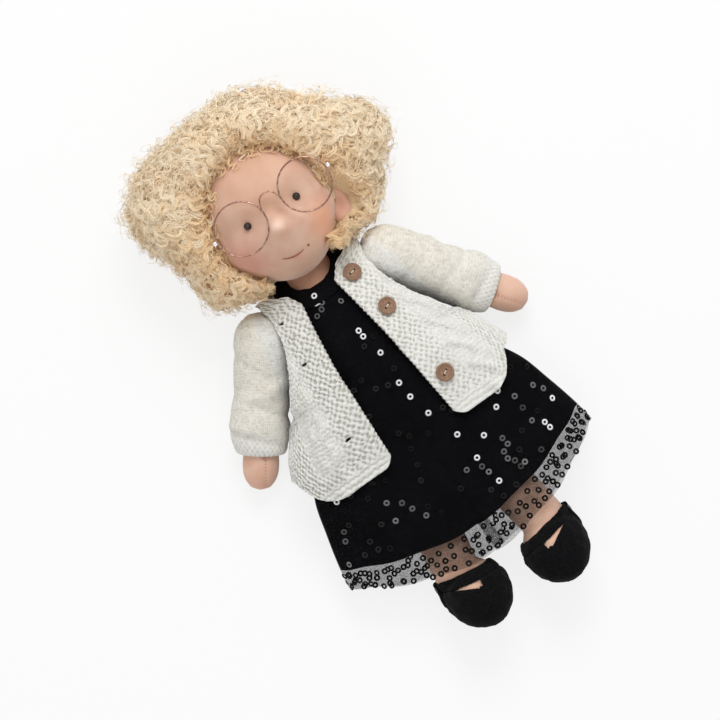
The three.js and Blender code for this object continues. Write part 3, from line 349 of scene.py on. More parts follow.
EYES = {"left": EYE_SHIFT + EYE_SPACING / 2, "right": EYE_SHIFT - EYE_SPACING / 2}


def bell(t):
    """A soft bump, 1 in its middle and next to nothing from 2 on."""
    return math.exp(-t * t)


def mouth_y(x):
    """How far down the line of the mouth is at x."""
    share = (x - MOUTH_SHIFT) / MOUTH_HALF
    return -MOUTH_DROP - MOUTH_SAG * (1 - share * share) + MOUTH_SLOPE * (x - MOUTH_SHIFT)


def relief(x, y):
    """How far the face stands out of the plain egg."""
    height = NOSE_HEIGHT * bell(math.hypot(x - NOSE.x, y - NOSE.y) / NOSE_RADIUS)
    height -= BROW_DIP * bell((y + EYE_DROP) / BROW_SPREAD)
    for eye_x in EYES.values():
        height -= EYE_DENT * bell(math.hypot(x - eye_x, y + EYE_DROP) / EYE_DENT_RADIUS)
    if abs(x - MOUTH_SHIFT) < MOUTH_HALF * 1.3:
        edge = min(1.0, (1.3 - abs(x - MOUTH_SHIFT) / MOUTH_HALF) / 0.3)
        height -= MOUTH_DENT * edge * bell((y - mouth_y(x)) / (1.2 * MM))
    return height


def cheek(y):
    """How much wider the cheeks make the head at a height."""
    return 1 + CHEEK_SHARE * bell((y + CHEEK_DROP) / CHEEK_SPREAD)


def face_z(x, y):
    """Height of the face over the middle of the head."""
    tall = HEAD_HALF.y if y > 0 else CHIN_HALF
    rounding = 1 - (y / tall) ** 2 - (x / HEAD_HALF.x / cheek(y)) ** 2
    return HEAD_HALF.z * cheek(y) * math.sqrt(max(0.0, rounding)) + relief(x, y)


HEAD_PLACE = Matrix.Translation(HEAD_MIDDLE) @ Matrix.Rotation(-HEAD_TILT, 4, "Z")
egg = bmesh.new()
bmesh.ops.create_icosphere(egg, subdivisions=SKIN_FINENESS, radius=1)
for corner in egg.verts:
    x, y, z = corner.co
    tall = HEAD_HALF.y if y > 0 else CHIN_HALF
    swell = cheek(y * tall)
    corner.co = (x * HEAD_HALF.x * swell, y * tall, z * HEAD_HALF.z * swell)
    if z > 0:
        corner.co.z += relief(corner.co.x, corner.co.y) * min(1.0, 2 * z)
bmesh.ops.transform(egg, matrix=HEAD_PLACE, verts=egg.verts)


def on_head(x, y, lift=0.0):
    """A place on the face, in the doll's frame."""
    return HEAD_PLACE @ Vector((x, y, face_z(x, y) + lift))


CRIMSON = (0.60, 0.18, 0.13, 1)
APRICOT = (0.82, 0.36, 0.19, 1)
SHADOW_BROWN = (0.38, 0.18, 0.10, 1)
HIGHLIGHT = (0.86, 0.62, 0.49, 1)
TAN_TONE_AND_PAINTED_SHADE = (0.54, 0.30, 0.18, 1)
# Crayon blushes in crimson and apricot; the crimson on the doll's right cheek is darker than the apricot on
# its left, partly as painted shade. The tan spots between the brows, round the eyes and on the chin, and the
# SHADOW_BROWN spots beside the nose, round the eyes, at the face's edge and under the chin are painted shade,
# and the HIGHLIGHT on the nose is a painted highlight. The broad tan spot makes the forehead darker.
BLUSHES_PAINTED_SHADE_AND_HIGHLIGHT = [
    # tint, place across and up the face, radius, strength
    (CRIMSON, (-21, -17), 16, 0.6), (APRICOT, (21, -18), 17, 0.9), (CRIMSON, (27, -10), 10, 0.25),
    (CRIMSON, (-26, -7), 9, 0.35), (TAN_TONE_AND_PAINTED_SHADE, (0, 24), 34, 0.42), (TAN_TONE_AND_PAINTED_SHADE, (0, 3), 17, 0.55),
    (TAN_TONE_AND_PAINTED_SHADE, (-14, 1), 11, 0.35), (TAN_TONE_AND_PAINTED_SHADE, (14, 1), 11, 0.3), (SHADOW_BROWN, (4.5, -3), 5, 0.3),
    (HIGHLIGHT, (-0.3, -8.7), 6.5, 0.85), (TAN_TONE_AND_PAINTED_SHADE, (0, -32), 20, 0.6), (SHADOW_BROWN, (0, -39), 13, 0.55),
    (CRIMSON, (0.5, -27.0), 5, 0.25), (APRICOT, (0, -14), 7, 0.25), (SHADOW_BROWN, (-30, 0), 9, 0.3),
    (SHADOW_BROWN, (-13.1, -1.1), 4.4, 0.35), (SHADOW_BROWN, (15.3, -1.1), 4.4, 0.35),
]


def tinted(tree, color, tint, middle, radius, strength):
    """The colour with a soft round spot of the tint, used for crayon blushes and for painted shade and
    painted highlights.
    """
    away = add_node(tree, "VectorMath", {"operation": "DISTANCE"}, _0=places(tree),
                    _1=middle).outputs["Value"]
    share = stretched(tree, away, 0.0, radius, strength, 0.0)
    return two_tones(tree, share, color, tint)


def face_blushes_painted_shade_and_highlight(tree, color):
    """The colour with all the blushes of the face, and its painted shade and painted highlight."""
    for tint, (x, y), radius, strength in BLUSHES_PAINTED_SHADE_AND_HIGHLIGHT:
        color = tinted(tree, color, tint, on_head(x * MM, y * MM), radius * MM, strength)
    return color


face_skin = jersey("face_jersey", face_blushes_painted_shade_and_highlight)
head = link_mesh("head_jersey", egg)
dressed(head, face_skin, "head", "jersey", "head_skin")

# Eyes. Round black glass beads sewn through the head, each sunk a little into its dent.
bead, _, bead_shader = surface("black_glass", (0.002, 0.002, 0.002, 1), 0.16)
bead_shader.inputs["Specular IOR Level"].default_value = 0.3
for side, eye_x in EYES.items():
    ball = bmesh.new()
    bmesh.ops.create_uvsphere(ball, u_segments=32, v_segments=20, radius=EYE_RADIUS)
    bmesh.ops.translate(ball, verts=ball.verts, vec=on_head(eye_x, -EYE_DROP, 0.7 * MM))
    dressed(link_mesh(side + "_bead_eye", ball), bead, "head", "bead", side + "_eye")

# Mouth. One stitch of rose thread laid across the face, with a knot of it at the doll's left end.
THREAD_RADIUS = 0.5 * MM
KNOT_PLACE = (7.6 * MM, -24.6 * MM)
KNOT_RADIUS = 0.8 * MM
ROSE = (0.30, 0.09, 0.065, 1)


def tube(name, points, radius, radii=None, sides=8, closed=False):
    """A round thread or wire along the points, as a mesh."""
    line = bpy.data.curves.new(name, "CURVE")
    line.dimensions = "3D"
    line.bevel_depth = radius
    line.bevel_resolution = max(0, sides // 4 - 1)
    line.use_fill_caps = True
    spline = line.splines.new("POLY")
    spline.points.add(len(points) - 1)
    spline.use_cyclic_u = closed
    for i, point in enumerate(points):
        spline.points[i].co = (*point, 1)
        spline.points[i].radius = radii[i] if radii else 1.0
    return as_mesh(name, line)


def as_mesh(name, line):
    """The curve's tubes as a mesh object."""
    drawn = bpy.data.objects.new(name + "_line", line)
    bpy.context.scene.collection.objects.link(drawn)
    mesh = bpy.data.meshes.new_from_object(drawn.evaluated_get(bpy.context.evaluated_depsgraph_get()))
    bpy.data.objects.remove(drawn)
    for face in mesh.polygons:
        face.use_smooth = True
    mesh.name = name
    made = bpy.data.objects.new(name, mesh)
    bpy.context.scene.collection.objects.link(made)
    return made


thread, thread_tree, thread_shader = surface("rose_thread", ROSE, 0.7)
raise_by(thread_tree, thread_shader, noise_of(thread_tree, 3000, 2.0), 0.1 * MM)
stitch_points = []
for i in range(17):
    x = MOUTH_SHIFT + MOUTH_HALF * (i / 8 - 1)
    stitch_points.append(on_head(x, mouth_y(x), 0.12 * MM))
stitch_ends = [0.35 + 0.65 * math.sin(math.pi * i / 16) for i in range(17)]
mouth = tube("mouth_thread", stitch_points, THREAD_RADIUS, stitch_ends)
dressed(mouth, thread, "head", "stitch", "mouth_stitch")
knot = bmesh.new()
bmesh.ops.create_uvsphere(knot, u_segments=16, v_segments=10, radius=KNOT_RADIUS)
bmesh.ops.translate(knot, verts=knot.verts, vec=on_head(*KNOT_PLACE, -0.2 * MM))
dressed(link_mesh("mouth_knot", knot), thread, "head", "stitch")

# Ears. Small sewn pads of the same jersey, each with a dished middle. The hair covers the right one.
EAR_HALF = Vector((6.5, 10.2, 4.0)) * MM
EAR_DROP = 14.7 * MM
EAR_BACK = 3 * MM
EAR_DISH = 1.6 * MM
EAR_DISH_RADIUS = 4.5 * MM


def ear_blush_and_shadow(tree, color):
    """The colour with a shadow and a warm rim in the hollow of each ear."""
    for side in (-1, 1):
        hollow = HEAD_PLACE @ Vector((side * (HEAD_HALF.x + 2 * MM), -EAR_DROP, 0))
        # Painted shade in each ear's hollow, and a crimson blush round it.
        color = tinted(tree, color, SHADOW_BROWN, hollow, 7 * MM, 0.45)
        color = tinted(tree, color, CRIMSON, hollow, 12 * MM, 0.25)
    return color


ear_skin = jersey("ear_jersey", ear_blush_and_shadow)
for name, side in SIDES:
    ear = bmesh.new()
    bmesh.ops.create_icosphere(ear, subdivisions=5, radius=1)
    for corner in ear.verts:
        place = Vector((corner.co.x * EAR_HALF.x, corner.co.y * EAR_HALF.y, corner.co.z * EAR_HALF.z))
        if place.z > 0:
            place.z -= EAR_DISH * bell(math.hypot(place.x - side * 1.5 * MM, place.y) / EAR_DISH_RADIUS)
        corner.co = HEAD_PLACE @ (place + Vector((side * HEAD_HALF.x, -EAR_DROP, -EAR_BACK)))
    dressed(link_mesh(name + "_ear_pad", ear), ear_skin, "head", "jersey", name + "_ear")

# Wig cap. A crocheted skull cap of boucle yarn sewn to the head, that the hair is knotted into.
CAP_YARN = (0.66, 0.50, 0.30, 1)
cap_finish, cap_tree, cap_shader = surface("crocheted_boucle", CAP_YARN, 0.95, Sheen_Weight=0.4)
cap_loops = add_node(cap_tree, "TexVoronoi", Vector=places(cap_tree), Scale=450).outputs["Distance"]
raise_by(cap_tree, cap_shader, cap_loops, 0.8 * MM)
cap = link_mesh("boucle_cap", soft_copy("wig_cap", 1))
dressed(cap, cap_finish, "head", "crochet", "wig_cap")

# Hair. Long curly mohair locks, knotted all over the cap and fluffed out into a round mop, with fuller
# bunches over the ears. The locks lie over each other from the hairline out, and their ends curl free.
HAIR_REACH = 66 * MM
REACH_SHARES = [
    # degrees from the crown towards the doll's left, share of the reach
    (-148, 0.58), (-132, 0.7), (-118, 0.83), (-100, 0.77), (-86, 0.8), (-72, 1.0), (-58, 1.09), (-44, 1.03),
    (-30, 0.95), (-16, 0.91), (0, 0.9), (16, 0.91), (30, 0.92), (46, 0.89), (60, 0.95), (74, 1.1), (86, 1.12),
    (98, 0.92), (110, 0.85), (124, 0.78), (132, 0.67), (148, 0.52),
]
HAIR_FRONT = 26 * MM
HAIR_UNDER = 14 * MM
HAIRLINE_FORWARD = 5 * MM
HAIRLINE_SLOPE = math.tan(math.radians(16.7))
FRINGE_FORWARD = 9 * MM
HAIR_SECTIONS = {
    # node: degrees from, degrees to
    "hair_right_side": (-146, -72), "hair_right_crown": (-72, -26), "hair_fringe": (-26, 26),
    "hair_left_crown": (26, 74), "hair_left_side": (74, 146),
}
LOCK_GAP = 7.3 * MM
LOCK_LENGTH = (30 * MM, 46 * MM)
LOCK_HALF = (1.0 * MM, 2.3 * MM)
CURL_PITCH = (8.5 * MM, 13 * MM)
CURL_RADIUS = (1.5 * MM, 3.2 * MM)
LOCK_POINTS = 26
FIBRES = 26
FIBRE_HALF = 0.105 * MM
FUZZ = 260
MASS_DEPTH = 5 * MM
EAR_TURN = 114
EAR_OPENING = 14
TOP_LOCKS = 26
STRAYS = 44
WISPS = 16
EAR_ROOM = Vector((7.5, 10)) * MM


def along(table, at):
    """The value at a place in a table of place and value, in order of place."""
    return float(np.interp(at, [row[0] for row in table], [row[1] for row in table]))


def hair_profile(turn):
    """The hair's surface at an angle round the face, as distances out from the middle and heights."""
    angle = math.radians(turn)
    reach = HAIR_REACH * along(REACH_SHARES, turn)
    up = math.cos(angle)
    head_radius = 1 / math.hypot(math.sin(angle) / HEAD_HALF.x, up / HEAD_HALF.y)
    beside_ear = math.exp(-((turn - EAR_TURN) / EAR_OPENING) ** 2)
    line_z = HAIRLINE_FORWARD + HAIRLINE_SLOPE * head_radius * up * 0.9
    line = head_radius * max(0.45, math.sqrt(max(0.0, 1 - (line_z / HEAD_HALF.z) ** 2)))
    front = max(line_z + FRINGE_FORWARD, HAIR_FRONT * (0.55 + 0.45 * max(0.0, up)))
    line_z -= 9 * MM * beside_ear
    front += (-1 * MM - front) * beside_ear
    low = -HEAD_MIDDLE.z
    return [
        (line, line_z), (line + FRINGE_FORWARD / 2, front * 0.94), ((line + reach) / 2, front),
        (line + (reach - line) * 0.8, front * 0.6), (reach, low * 0.2), (reach * 0.95, low * 0.72),
        (reach * 0.82, low + 1 * MM), (HAIR_UNDER, low + 1 * MM),
    ]


PROFILE_STEPS = 48
FAN_STEP = 2


def fan_of_profiles():
    """Each profile as evenly spaced points, every few degrees of the fan."""
    fan = {}
    for turn in range(-150, 151, FAN_STEP):
        corners = np.array(hair_profile(turn))
        lengths = np.concatenate([[0], np.cumsum(np.hypot(*np.diff(corners, axis=0).T))])
        even = np.linspace(0, lengths[-1], PROFILE_STEPS)
        fan[turn] = np.stack([np.interp(even, lengths, corners[:, k]) for k in (0, 1)], axis=1), lengths[-1]
    return fan


FAN = fan_of_profiles()


def hair_place(turn, share, depth):
    """A point under the hair's surface, and the way that the surface faces there."""
    turn = max(-148.0, min(148.0, turn))
    points, _ = FAN[int(round(turn / FAN_STEP)) * FAN_STEP]
    at = min(max(share, 0.0), 0.999) * (PROFILE_STEPS - 1)
    i = int(at)
    r, z = points[i] + (points[min(i + 1, PROFILE_STEPS - 1)] - points[i]) * (at - i)
    a, b = points[max(i - 2, 0)], points[min(i + 3, PROFILE_STEPS - 1)]
    tangent = (b - a) / max(1e-9, math.hypot(*(b - a)))
    angle = math.radians(turn)
    outward = Vector((math.sin(angle), math.cos(angle), 0))
    normal = outward * -tangent[1] + Vector((0, 0, tangent[0]))
    return outward * r + Vector((0, 0, z)) - normal * depth, normal


def lock_path(turn, share, length, depth, lean, rise):
    """The middle line of a lock laid over the hair from its root, and its directions at each point."""
    reach = FAN[int(round(max(-148, min(148, turn)) / FAN_STEP)) * FAN_STEP][1]
    line, normals = [], []
    for i in range(LOCK_POINTS):
        t = i / (LOCK_POINTS - 1)
        past = share + t * length / reach
        sink = depth * (1 - t) ** 1.5 - rise * t * t
        place, normal = hair_place(turn + lean * t * (1 + 0.4 * t), past, sink)
        line.append(place)
        normals.append(normal)
    return np.array(line), np.array(normals)


def wisp_path(turn, length, lean):
    """The middle line of a short curl that falls from the hairline over the edge of the face."""
    line, normals = [], []
    _, start_z = hair_profile(turn)[0]
    for i in range(LOCK_POINTS):
        t = i / (LOCK_POINTS - 1)
        angle = math.radians(turn + lean * t)
        outward = Vector((math.sin(angle), math.cos(angle), 0))
        head_radius = 1 / math.hypot(outward.x / HEAD_HALF.x, outward.y / HEAD_HALF.y)
        lean_back = math.asin(min(0.95, max(-0.5, start_z / HEAD_HALF.z))) - 0.12 + t * length / HEAD_HALF.z
        normal = outward * math.cos(lean_back) + Vector((0, 0, math.sin(lean_back)))
        off = 1.1 * MM + 2.6 * MM * math.sin(math.pi * min(1.0, t * 1.3)) ** 2
        rise = Vector((0, 0, math.sin(lean_back) * HEAD_HALF.z))
        line.append(outward * math.cos(lean_back) * head_radius + rise + normal * off)
        normals.append(normal)
    return np.array(line), np.array(normals)


def curled(line, normals, count, pitch, radii, half, shade=0.6, flatness=0.4, loops=0.0):
    """Fibres that run side by side in one wavy lock, which curls wider towards its free tip and thins out
    there, or rolls into loops. Gives the fibres, the way that each faces, and their shade."""
    run = np.concatenate([[0], np.cumsum(np.linalg.norm(np.diff(line, axis=0), axis=1))])
    t = run / run[-1]
    start = random.uniform(0, 2 * math.pi)
    phase = start + random.choice((-1, 1)) * run / pitch * 2 * math.pi * (1 + 0.45 * t * t)
    slow = run / (pitch * 3.1) * 2 * math.pi + start * 1.7
    size = np.interp(t, [0, 0.25, 1], [radii[0] * 0.4, radii[0], radii[1]])
    across = np.cross(np.gradient(line, axis=0), normals)
    across /= np.linalg.norm(across, axis=1, keepdims=True)
    middle = line + across * (size * np.cos(phase) + 1.4 * MM * np.sin(slow) * t)[:, None]
    middle = middle + normals * (size * flatness * np.sin(phase))[:, None]
    ahead = np.gradient(line, axis=0)
    ahead /= np.linalg.norm(ahead, axis=1, keepdims=True)
    middle = middle + ahead * (size * loops * t * np.sin(phase))[:, None]
    across = np.cross(np.gradient(middle, axis=0), normals)
    across /= np.linalg.norm(across, axis=1, keepdims=True) + 1e-9
    body = np.interp(t, [0, 0.3, 0.75, 1], [0.8, 1.0, 0.8, 0.3]) * half
    fibres = []
    for _ in range(count):
        beside = random.uniform(-1, 1)
        over = random.uniform(-0.5, 0.5) * math.sqrt(1 - beside * beside)
        wander = random.uniform(0.05, 0.35) * MM
        wave = np.sin(run / (7 * MM) * 2 * math.pi + random.uniform(0, 6.3))
        sideways = beside * body + wander * wave * t
        fibre = middle + across * sideways[:, None] + normals * (over * body)[:, None]
        ending = random.uniform(0.82, 1.0) * t
        fibres.append(np.stack([np.interp(ending, t, fibre[:, k]) for k in range(3)], axis=1))
    return fibres, normals, shade + random.uniform(-0.35, 0.35)


def behind_ear(line, normals):
    """A lock's path, which starts behind the left ear where it would pass in front of it, or nothing where
    too little of it is left."""
    away = np.abs(line[:, :2] - np.array([HEAD_HALF.x + 3.5 * MM, -EAR_DROP]))
    hidden = (away[:, 0] < EAR_ROOM.x) & (away[:, 1] < EAR_ROOM.y) & (line[:, 2] > -8 * MM)
    if not hidden.any():
        return line, normals
    first = int(np.nonzero(hidden)[0][-1])
    if first > LOCK_POINTS - 7:
        return None
    steps = np.arange(LOCK_POINTS)
    places_left = np.linspace(first, LOCK_POINTS - 1, LOCK_POINTS)
    line, normals = (np.stack([np.interp(places_left, steps, rows[:, k]) for k in range(3)], axis=1)
                     for rows in (line, normals))
    line[:, 2] -= 5 * MM * (1 - steps / (LOCK_POINTS - 1)) ** 2
    return line, normals


def hair_mesh(name, locks, half):
    """All the fibres of some locks as one mesh of fine flat bands, which taper to their tips."""
    lines, facing, tints = [], [], []
    for fibres, normals, shade in locks:
        lines += fibres
        facing += [normals] * len(fibres)
        tints += [min(1.0, max(0.0, shade + random.uniform(-0.12, 0.12))) for _ in fibres]
    turn = np.array(HEAD_PLACE.to_3x3())
    lines = np.array(lines) @ turn.T + np.array(HEAD_PLACE.translation)
    lines[:, :, 2] = np.maximum(lines[:, :, 2], 0.5 * MM)
    facing = np.array(facing) @ turn.T
    count, steps, _ = lines.shape
    ahead = np.gradient(lines, axis=1)
    across = np.cross(ahead, facing)
    across /= np.linalg.norm(across, axis=2, keepdims=True) + 1e-12
    roll = np.array([random.gauss(0, 0.35) for _ in range(count)])[:, None, None]
    across = across * np.cos(roll) + facing * np.sin(roll)
    taper = np.interp(np.linspace(0, 1, steps), [0, 0.15, 0.75, 1], [0.7, 1.0, 0.9, 0.25])
    taper = taper[None, :, None] * half
    corners = np.stack([lines - across * taper, lines + across * taper], axis=2).reshape(-1, 3)
    first = (np.arange(count)[:, None] * steps + np.arange(steps - 1)[None, :]).reshape(-1) * 2
    mesh = bpy.data.meshes.new(name)
    bands = np.stack([first, first + 1, first + 3, first + 2], axis=1)
    mesh.from_pydata(corners.tolist(), [], bands.tolist())
    tint = mesh.attributes.new("tint", "FLOAT", "POINT")
    tint.data.foreach_set("value", np.repeat(np.array(tints), steps * 2))
    mesh.polygons.foreach_set("use_smooth", [True] * len(mesh.polygons))
    piece = bpy.data.objects.new(name, mesh)
    bpy.context.scene.collection.objects.link(piece)
    return piece


PALE_BLOND = (0.86, 0.745, 0.56, 1)
HONEY_TONE_AND_PAINTED_SHADE = (0.80, 0.58, 0.33, 1)
HONEY_PAINTED_SHADE = (0.70, 0.51, 0.30, 1)
# The locks glow faintly in their own colour: painted light for the light that passes through the fine fibres.
mohair, mohair_tree, mohair_shader = surface("mohair", PALE_BLOND, 0.6, Sheen_Weight=0.3, Sheen_Roughness=0.4,
                                             Emission_Strength=0.08)
mohair_shader.inputs["Specular IOR Level"].default_value = 0.35
from_middle = add_node(mohair_tree, "VectorMath", {"operation": "DISTANCE"}, _0=places(mohair_tree),
                       _1=HEAD_MIDDLE).outputs["Value"]
patchy = stretched(mohair_tree, noise_of(mohair_tree, 75, 2.0), 0.42, 0.62)
# The locks are honey near the head and pale further out, with random honey patches. Each lock's tint darkens
# sunken locks to honey as painted shade and lightens raised ones as painted light, with random differences.
lock_tint = add_node(mohair_tree, "Attribute", {"attribute_name": "tint"}).outputs["Fac"]
color = two_tones(mohair_tree, stretched(mohair_tree, from_middle, 34 * MM, 60 * MM), HONEY_TONE_AND_PAINTED_SHADE, PALE_BLOND)
color = two_tones(mohair_tree, stretched(mohair_tree, patchy, 0, 1, 0.0, 0.5), color, HONEY_TONE_AND_PAINTED_SHADE)
color = two_tones(mohair_tree, stretched(mohair_tree, lock_tint, 0.45, 0.0, 0.0, 0.8), color, HONEY_TONE_AND_PAINTED_SHADE)
color = two_tones(mohair_tree, stretched(mohair_tree, lock_tint, 0.5, 1, 0.0, 0.8), color, PALE_BLOND)
plug(mohair_tree, color, mohair_shader.inputs["Base Color"])
plug(mohair_tree, color, mohair_shader.inputs["Emission Color"])
# Painted shade: the mass under the locks and the back pad are a darker honey for the shade deep in the hair,
# and they glow faintly as painted light.
hair_mass_painted_shade, shade_tree, shade_shader = surface("mohair_mass_painted_shade", HONEY_PAINTED_SHADE, 0.9, Emission_Strength=0.08)
shade_shader.inputs["Emission Color"].default_value = HONEY_PAINTED_SHADE
raise_by(shade_tree, shade_shader, noise_of(shade_tree, 500, 4.0, distortion=1.5), 1 * MM)


def fan_mass(name, low_turn, high_turn):
    """The inside of the hair over a run of the fan, under the locks."""
    mass = bmesh.new()
    rings = []
    count = max(3, int((high_turn - low_turn) / 6) + 1)
    for turn in np.linspace(low_turn, high_turn, count):
        places_here = [hair_place(turn, share, MASS_DEPTH)[0] for share in np.linspace(0.1, 0.99, 14)]
        inner = hair_place(turn, 0.0, MASS_DEPTH)[0]
        angle = math.radians(turn)
        core = Vector((math.sin(angle), math.cos(angle), 0)) * HAIR_UNDER
        ring = [core + Vector((0, 0, -HEAD_MIDDLE.z / 2)), inner * 0.9, *places_here]
        rings.append([mass.verts.new(HEAD_PLACE @ p) for p in ring])
    for first, second in zip(rings, rings[1:]):
        for i in range(len(first)):
            j = (i + 1) % len(first)
            mass.faces.new((first[i], first[j], second[j], second[i]))
    mass.faces.new(rings[0])
    mass.faces.new(reversed(rings[-1]))
    bmesh.ops.recalc_face_normals(mass, faces=mass.faces)
    for corner in mass.verts:
        corner.co.z = max(corner.co.z, 1 * MM)
    return link_mesh(name, mass)


for node, (low_turn, high_turn) in HAIR_SECTIONS.items():
    strands = []
    turn_span = high_turn - low_turn
    middle_turn = (low_turn + high_turn) / 2
    _, reach = FAN[int(round(middle_turn / FAN_STEP)) * FAN_STEP]
    rows = int(reach / LOCK_GAP)
    for row in range(int(rows * 0.78)):
        share = (row + random.uniform(-0.4, 0.4)) / rows - 0.02
        radius = max(20 * MM, hair_place(middle_turn, share, 0)[0].xy.length)
        count = max(3, int(radius * math.radians(turn_span) / LOCK_GAP))
        for k in range(count):
            turn = low_turn + turn_span * (k + random.uniform(0.1, 0.9)) / count
            length = random.uniform(*LOCK_LENGTH) * (0.65 if share > 0.55 else 1)
            # Clumps by noise: a low clump lies deeper and takes a darker tint as painted shade, a raised one
            # a paler tint as painted light.
            clump = Vector((turn / 17, share * 5, 0))
            fall, swell = noise.noise(clump), noise.noise(clump + Vector((0, 0, 7)))
            lean = random.gauss(0, 5) + (5 if turn > 0 else -5) + 25 * fall
            path = behind_ear(*lock_path(turn, share, length, (2 - 5 * swell) * MM, lean,
                                         (0.8 + 6 * swell) * MM))
            if path:
                strands.append(curled(*path, FIBRES, random.uniform(*CURL_PITCH), CURL_RADIUS,
                                      random.uniform(*LOCK_HALF), 0.5 + 1.2 * swell))
    for _ in range(TOP_LOCKS):
        turn = random.uniform(low_turn, high_turn)
        path = behind_ear(*lock_path(turn, random.uniform(0.02, 0.34), random.uniform(26, 42) * MM, -1.4 * MM,
                                     random.gauss(0, 14), random.uniform(2.5, 5) * MM))
        if path:
            strands.append(curled(*path, 18, random.uniform(10, 15) * MM, (2.0 * MM, 4.0 * MM),
                                  random.uniform(0.8, 1.3) * MM, random.uniform(0.35, 1.0), 0.25, 0.5))
    for _ in range(STRAYS):
        turn = random.uniform(low_turn, high_turn)
        share = random.uniform(0.22, 0.5)
        path = behind_ear(*lock_path(turn, share, random.uniform(14, 26) * MM, 2 * MM, random.gauss(0, 14),
                                     random.uniform(4, 10) * MM))
        if path:
            strands.append(curled(*path, 7, random.uniform(8, 11) * MM, (1.8 * MM, 3.2 * MM), 0.45 * MM,
                                  0.7, 0.3, 1.1))
    for _ in range(FUZZ):
        path = behind_ear(*lock_path(random.uniform(low_turn, high_turn), random.uniform(0, 0.55),
                                     random.uniform(10, 20) * MM, 1 * MM, random.gauss(0, 25),
                                     random.uniform(1, 4) * MM))
        if path:
            strands.append(curled(*path, 2, random.uniform(5, 9) * MM, (0.8 * MM, 2.2 * MM), 0.5 * MM,
                                  0.7, 0.9))
    wisp_turns = (max(low_turn, -112), min(high_turn, 92))
    for _ in range(WISPS if wisp_turns[0] < wisp_turns[1] else 0):
        turn = random.uniform(*wisp_turns)
        path = wisp_path(turn, random.uniform(6, 15 if turn < 20 else 10) * MM, random.gauss(0, 12))
        strands.append(curled(*path, 11, random.uniform(6.5, 9) * MM, (1.2 * MM, 2.2 * MM), 0.8 * MM, 0.7))
    half = len(strands) // 2
    random.shuffle(strands)
    for part, share_of in (("under", strands[:half]), ("over", strands[half:])):
        locks = hair_mesh(node + "_" + part + "_locks", share_of, FIBRE_HALF)
        dressed(locks, mohair, "head", "mohair", *([node] if part == "over" else []))
    under = fan_mass(node + "_mass", low_turn, high_turn)
    dressed(under, hair_mass_painted_shade, "head", "mohair")

pad = link_mesh("hair_back_pad", soft_copy("hair_back", 1))
dressed(pad, hair_mass_painted_shade, "head", "mohair", "hair_back")

# Glasses. Round rims and a high bridge bent from thin rose gold wire, with clear lenses, small screwed
# hinge blocks and wire temples that run back over the ears under the hair.
RIM_RADIUS = 13.6 * MM
RIM_SPACING = 38.5 * MM
WIRE_RADIUS = 0.42 * MM
LENS_RADIUS = RIM_RADIUS - WIRE_RADIUS
LENS_EDGE = 0.5 * MM
LENS_BULGE = 0.6 * MM
BRIDGE_HEIGHT = 8.0 * MM
BRIDGE_SHARES = [(-1, -0.1), (-0.97, 0.2), (-0.86, 0.55), (-0.6, 0.88), (-0.3, 0.99), (0, 1.02), (0.3, 0.99),
                 (0.6, 0.88), (0.86, 0.55), (0.97, 0.2), (1, -0.1)]
HINGE = Vector((1.8, 2.2, 2.8)) * MM
HINGE_RISE = 1.3 * MM
SCREW_RADIUS = 0.55 * MM
TEMPLE_LENGTH = 37 * MM
TEMPLE_BOW = 2.2 * MM
TEMPLE_SHARES = [(0, 0), (0.1, 0.22), (0.2, 0.5), (0.32, 0.78), (0.45, 0.95), (0.6, 1), (0.75, 1), (1, 1)]
SOLDER_RADIUS = 0.55 * MM

ROSE_GOLD = (0.22, 0.11, 0.08, 1)
ROSE_GOLD_WORN = (0.44, 0.27, 0.21, 1)
rose_gold, gold_tree, gold_shader = surface("rose_gold_wire", ROSE_GOLD, 0.32, Metallic=1.0)
worn = stretched(gold_tree, noise_of(gold_tree, 700, 3.0), 0.4, 0.65)
plug(gold_tree, two_tones(gold_tree, worn, ROSE_GOLD, ROSE_GOLD_WORN), gold_shader.inputs["Base Color"])
raise_by(gold_tree, gold_shader, noise_of(gold_tree, 4000, 2.0), 0.02 * MM)
hinge_steel, steel_tree, steel_shader = surface("polished_steel", (0.78, 0.77, 0.76, 1), 0.22, Metallic=1.0)
raise_by(steel_tree, steel_shader, noise_of(steel_tree, 3000, 2.0), 0.02 * MM)
lens_glass, lens_tree, lens_shader = surface("clear_lens", (0.35, 0.20, 0.15, 1), 0.04, Alpha=0.035)
smears = stretched(lens_tree, noise_of(lens_tree, 120, 2.0), 0.3, 0.8, 0.03, 0.09)
plug(lens_tree, smears, lens_shader.inputs["Roughness"])


def spun(profile, steps, closed=False):
    """A form turned about Z from radii and heights."""
    shape = bmesh.new()
    line = [shape.verts.new((radius, 0, z)) for radius, z in profile]
    for first, second in zip(line, line[1:] + (line[:1] if closed else [])):
        shape.edges.new((first, second))
    bmesh.ops.spin(shape, geom=shape.verts[:] + shape.edges[:], cent=(0, 0, 0), axis=(0, 0, 1),
                   angle=2 * math.pi, steps=steps, use_merge=True)
    bmesh.ops.remove_doubles(shape, verts=shape.verts, dist=MERGE)
    bmesh.ops.recalc_face_normals(shape, faces=shape.faces)
    return shape


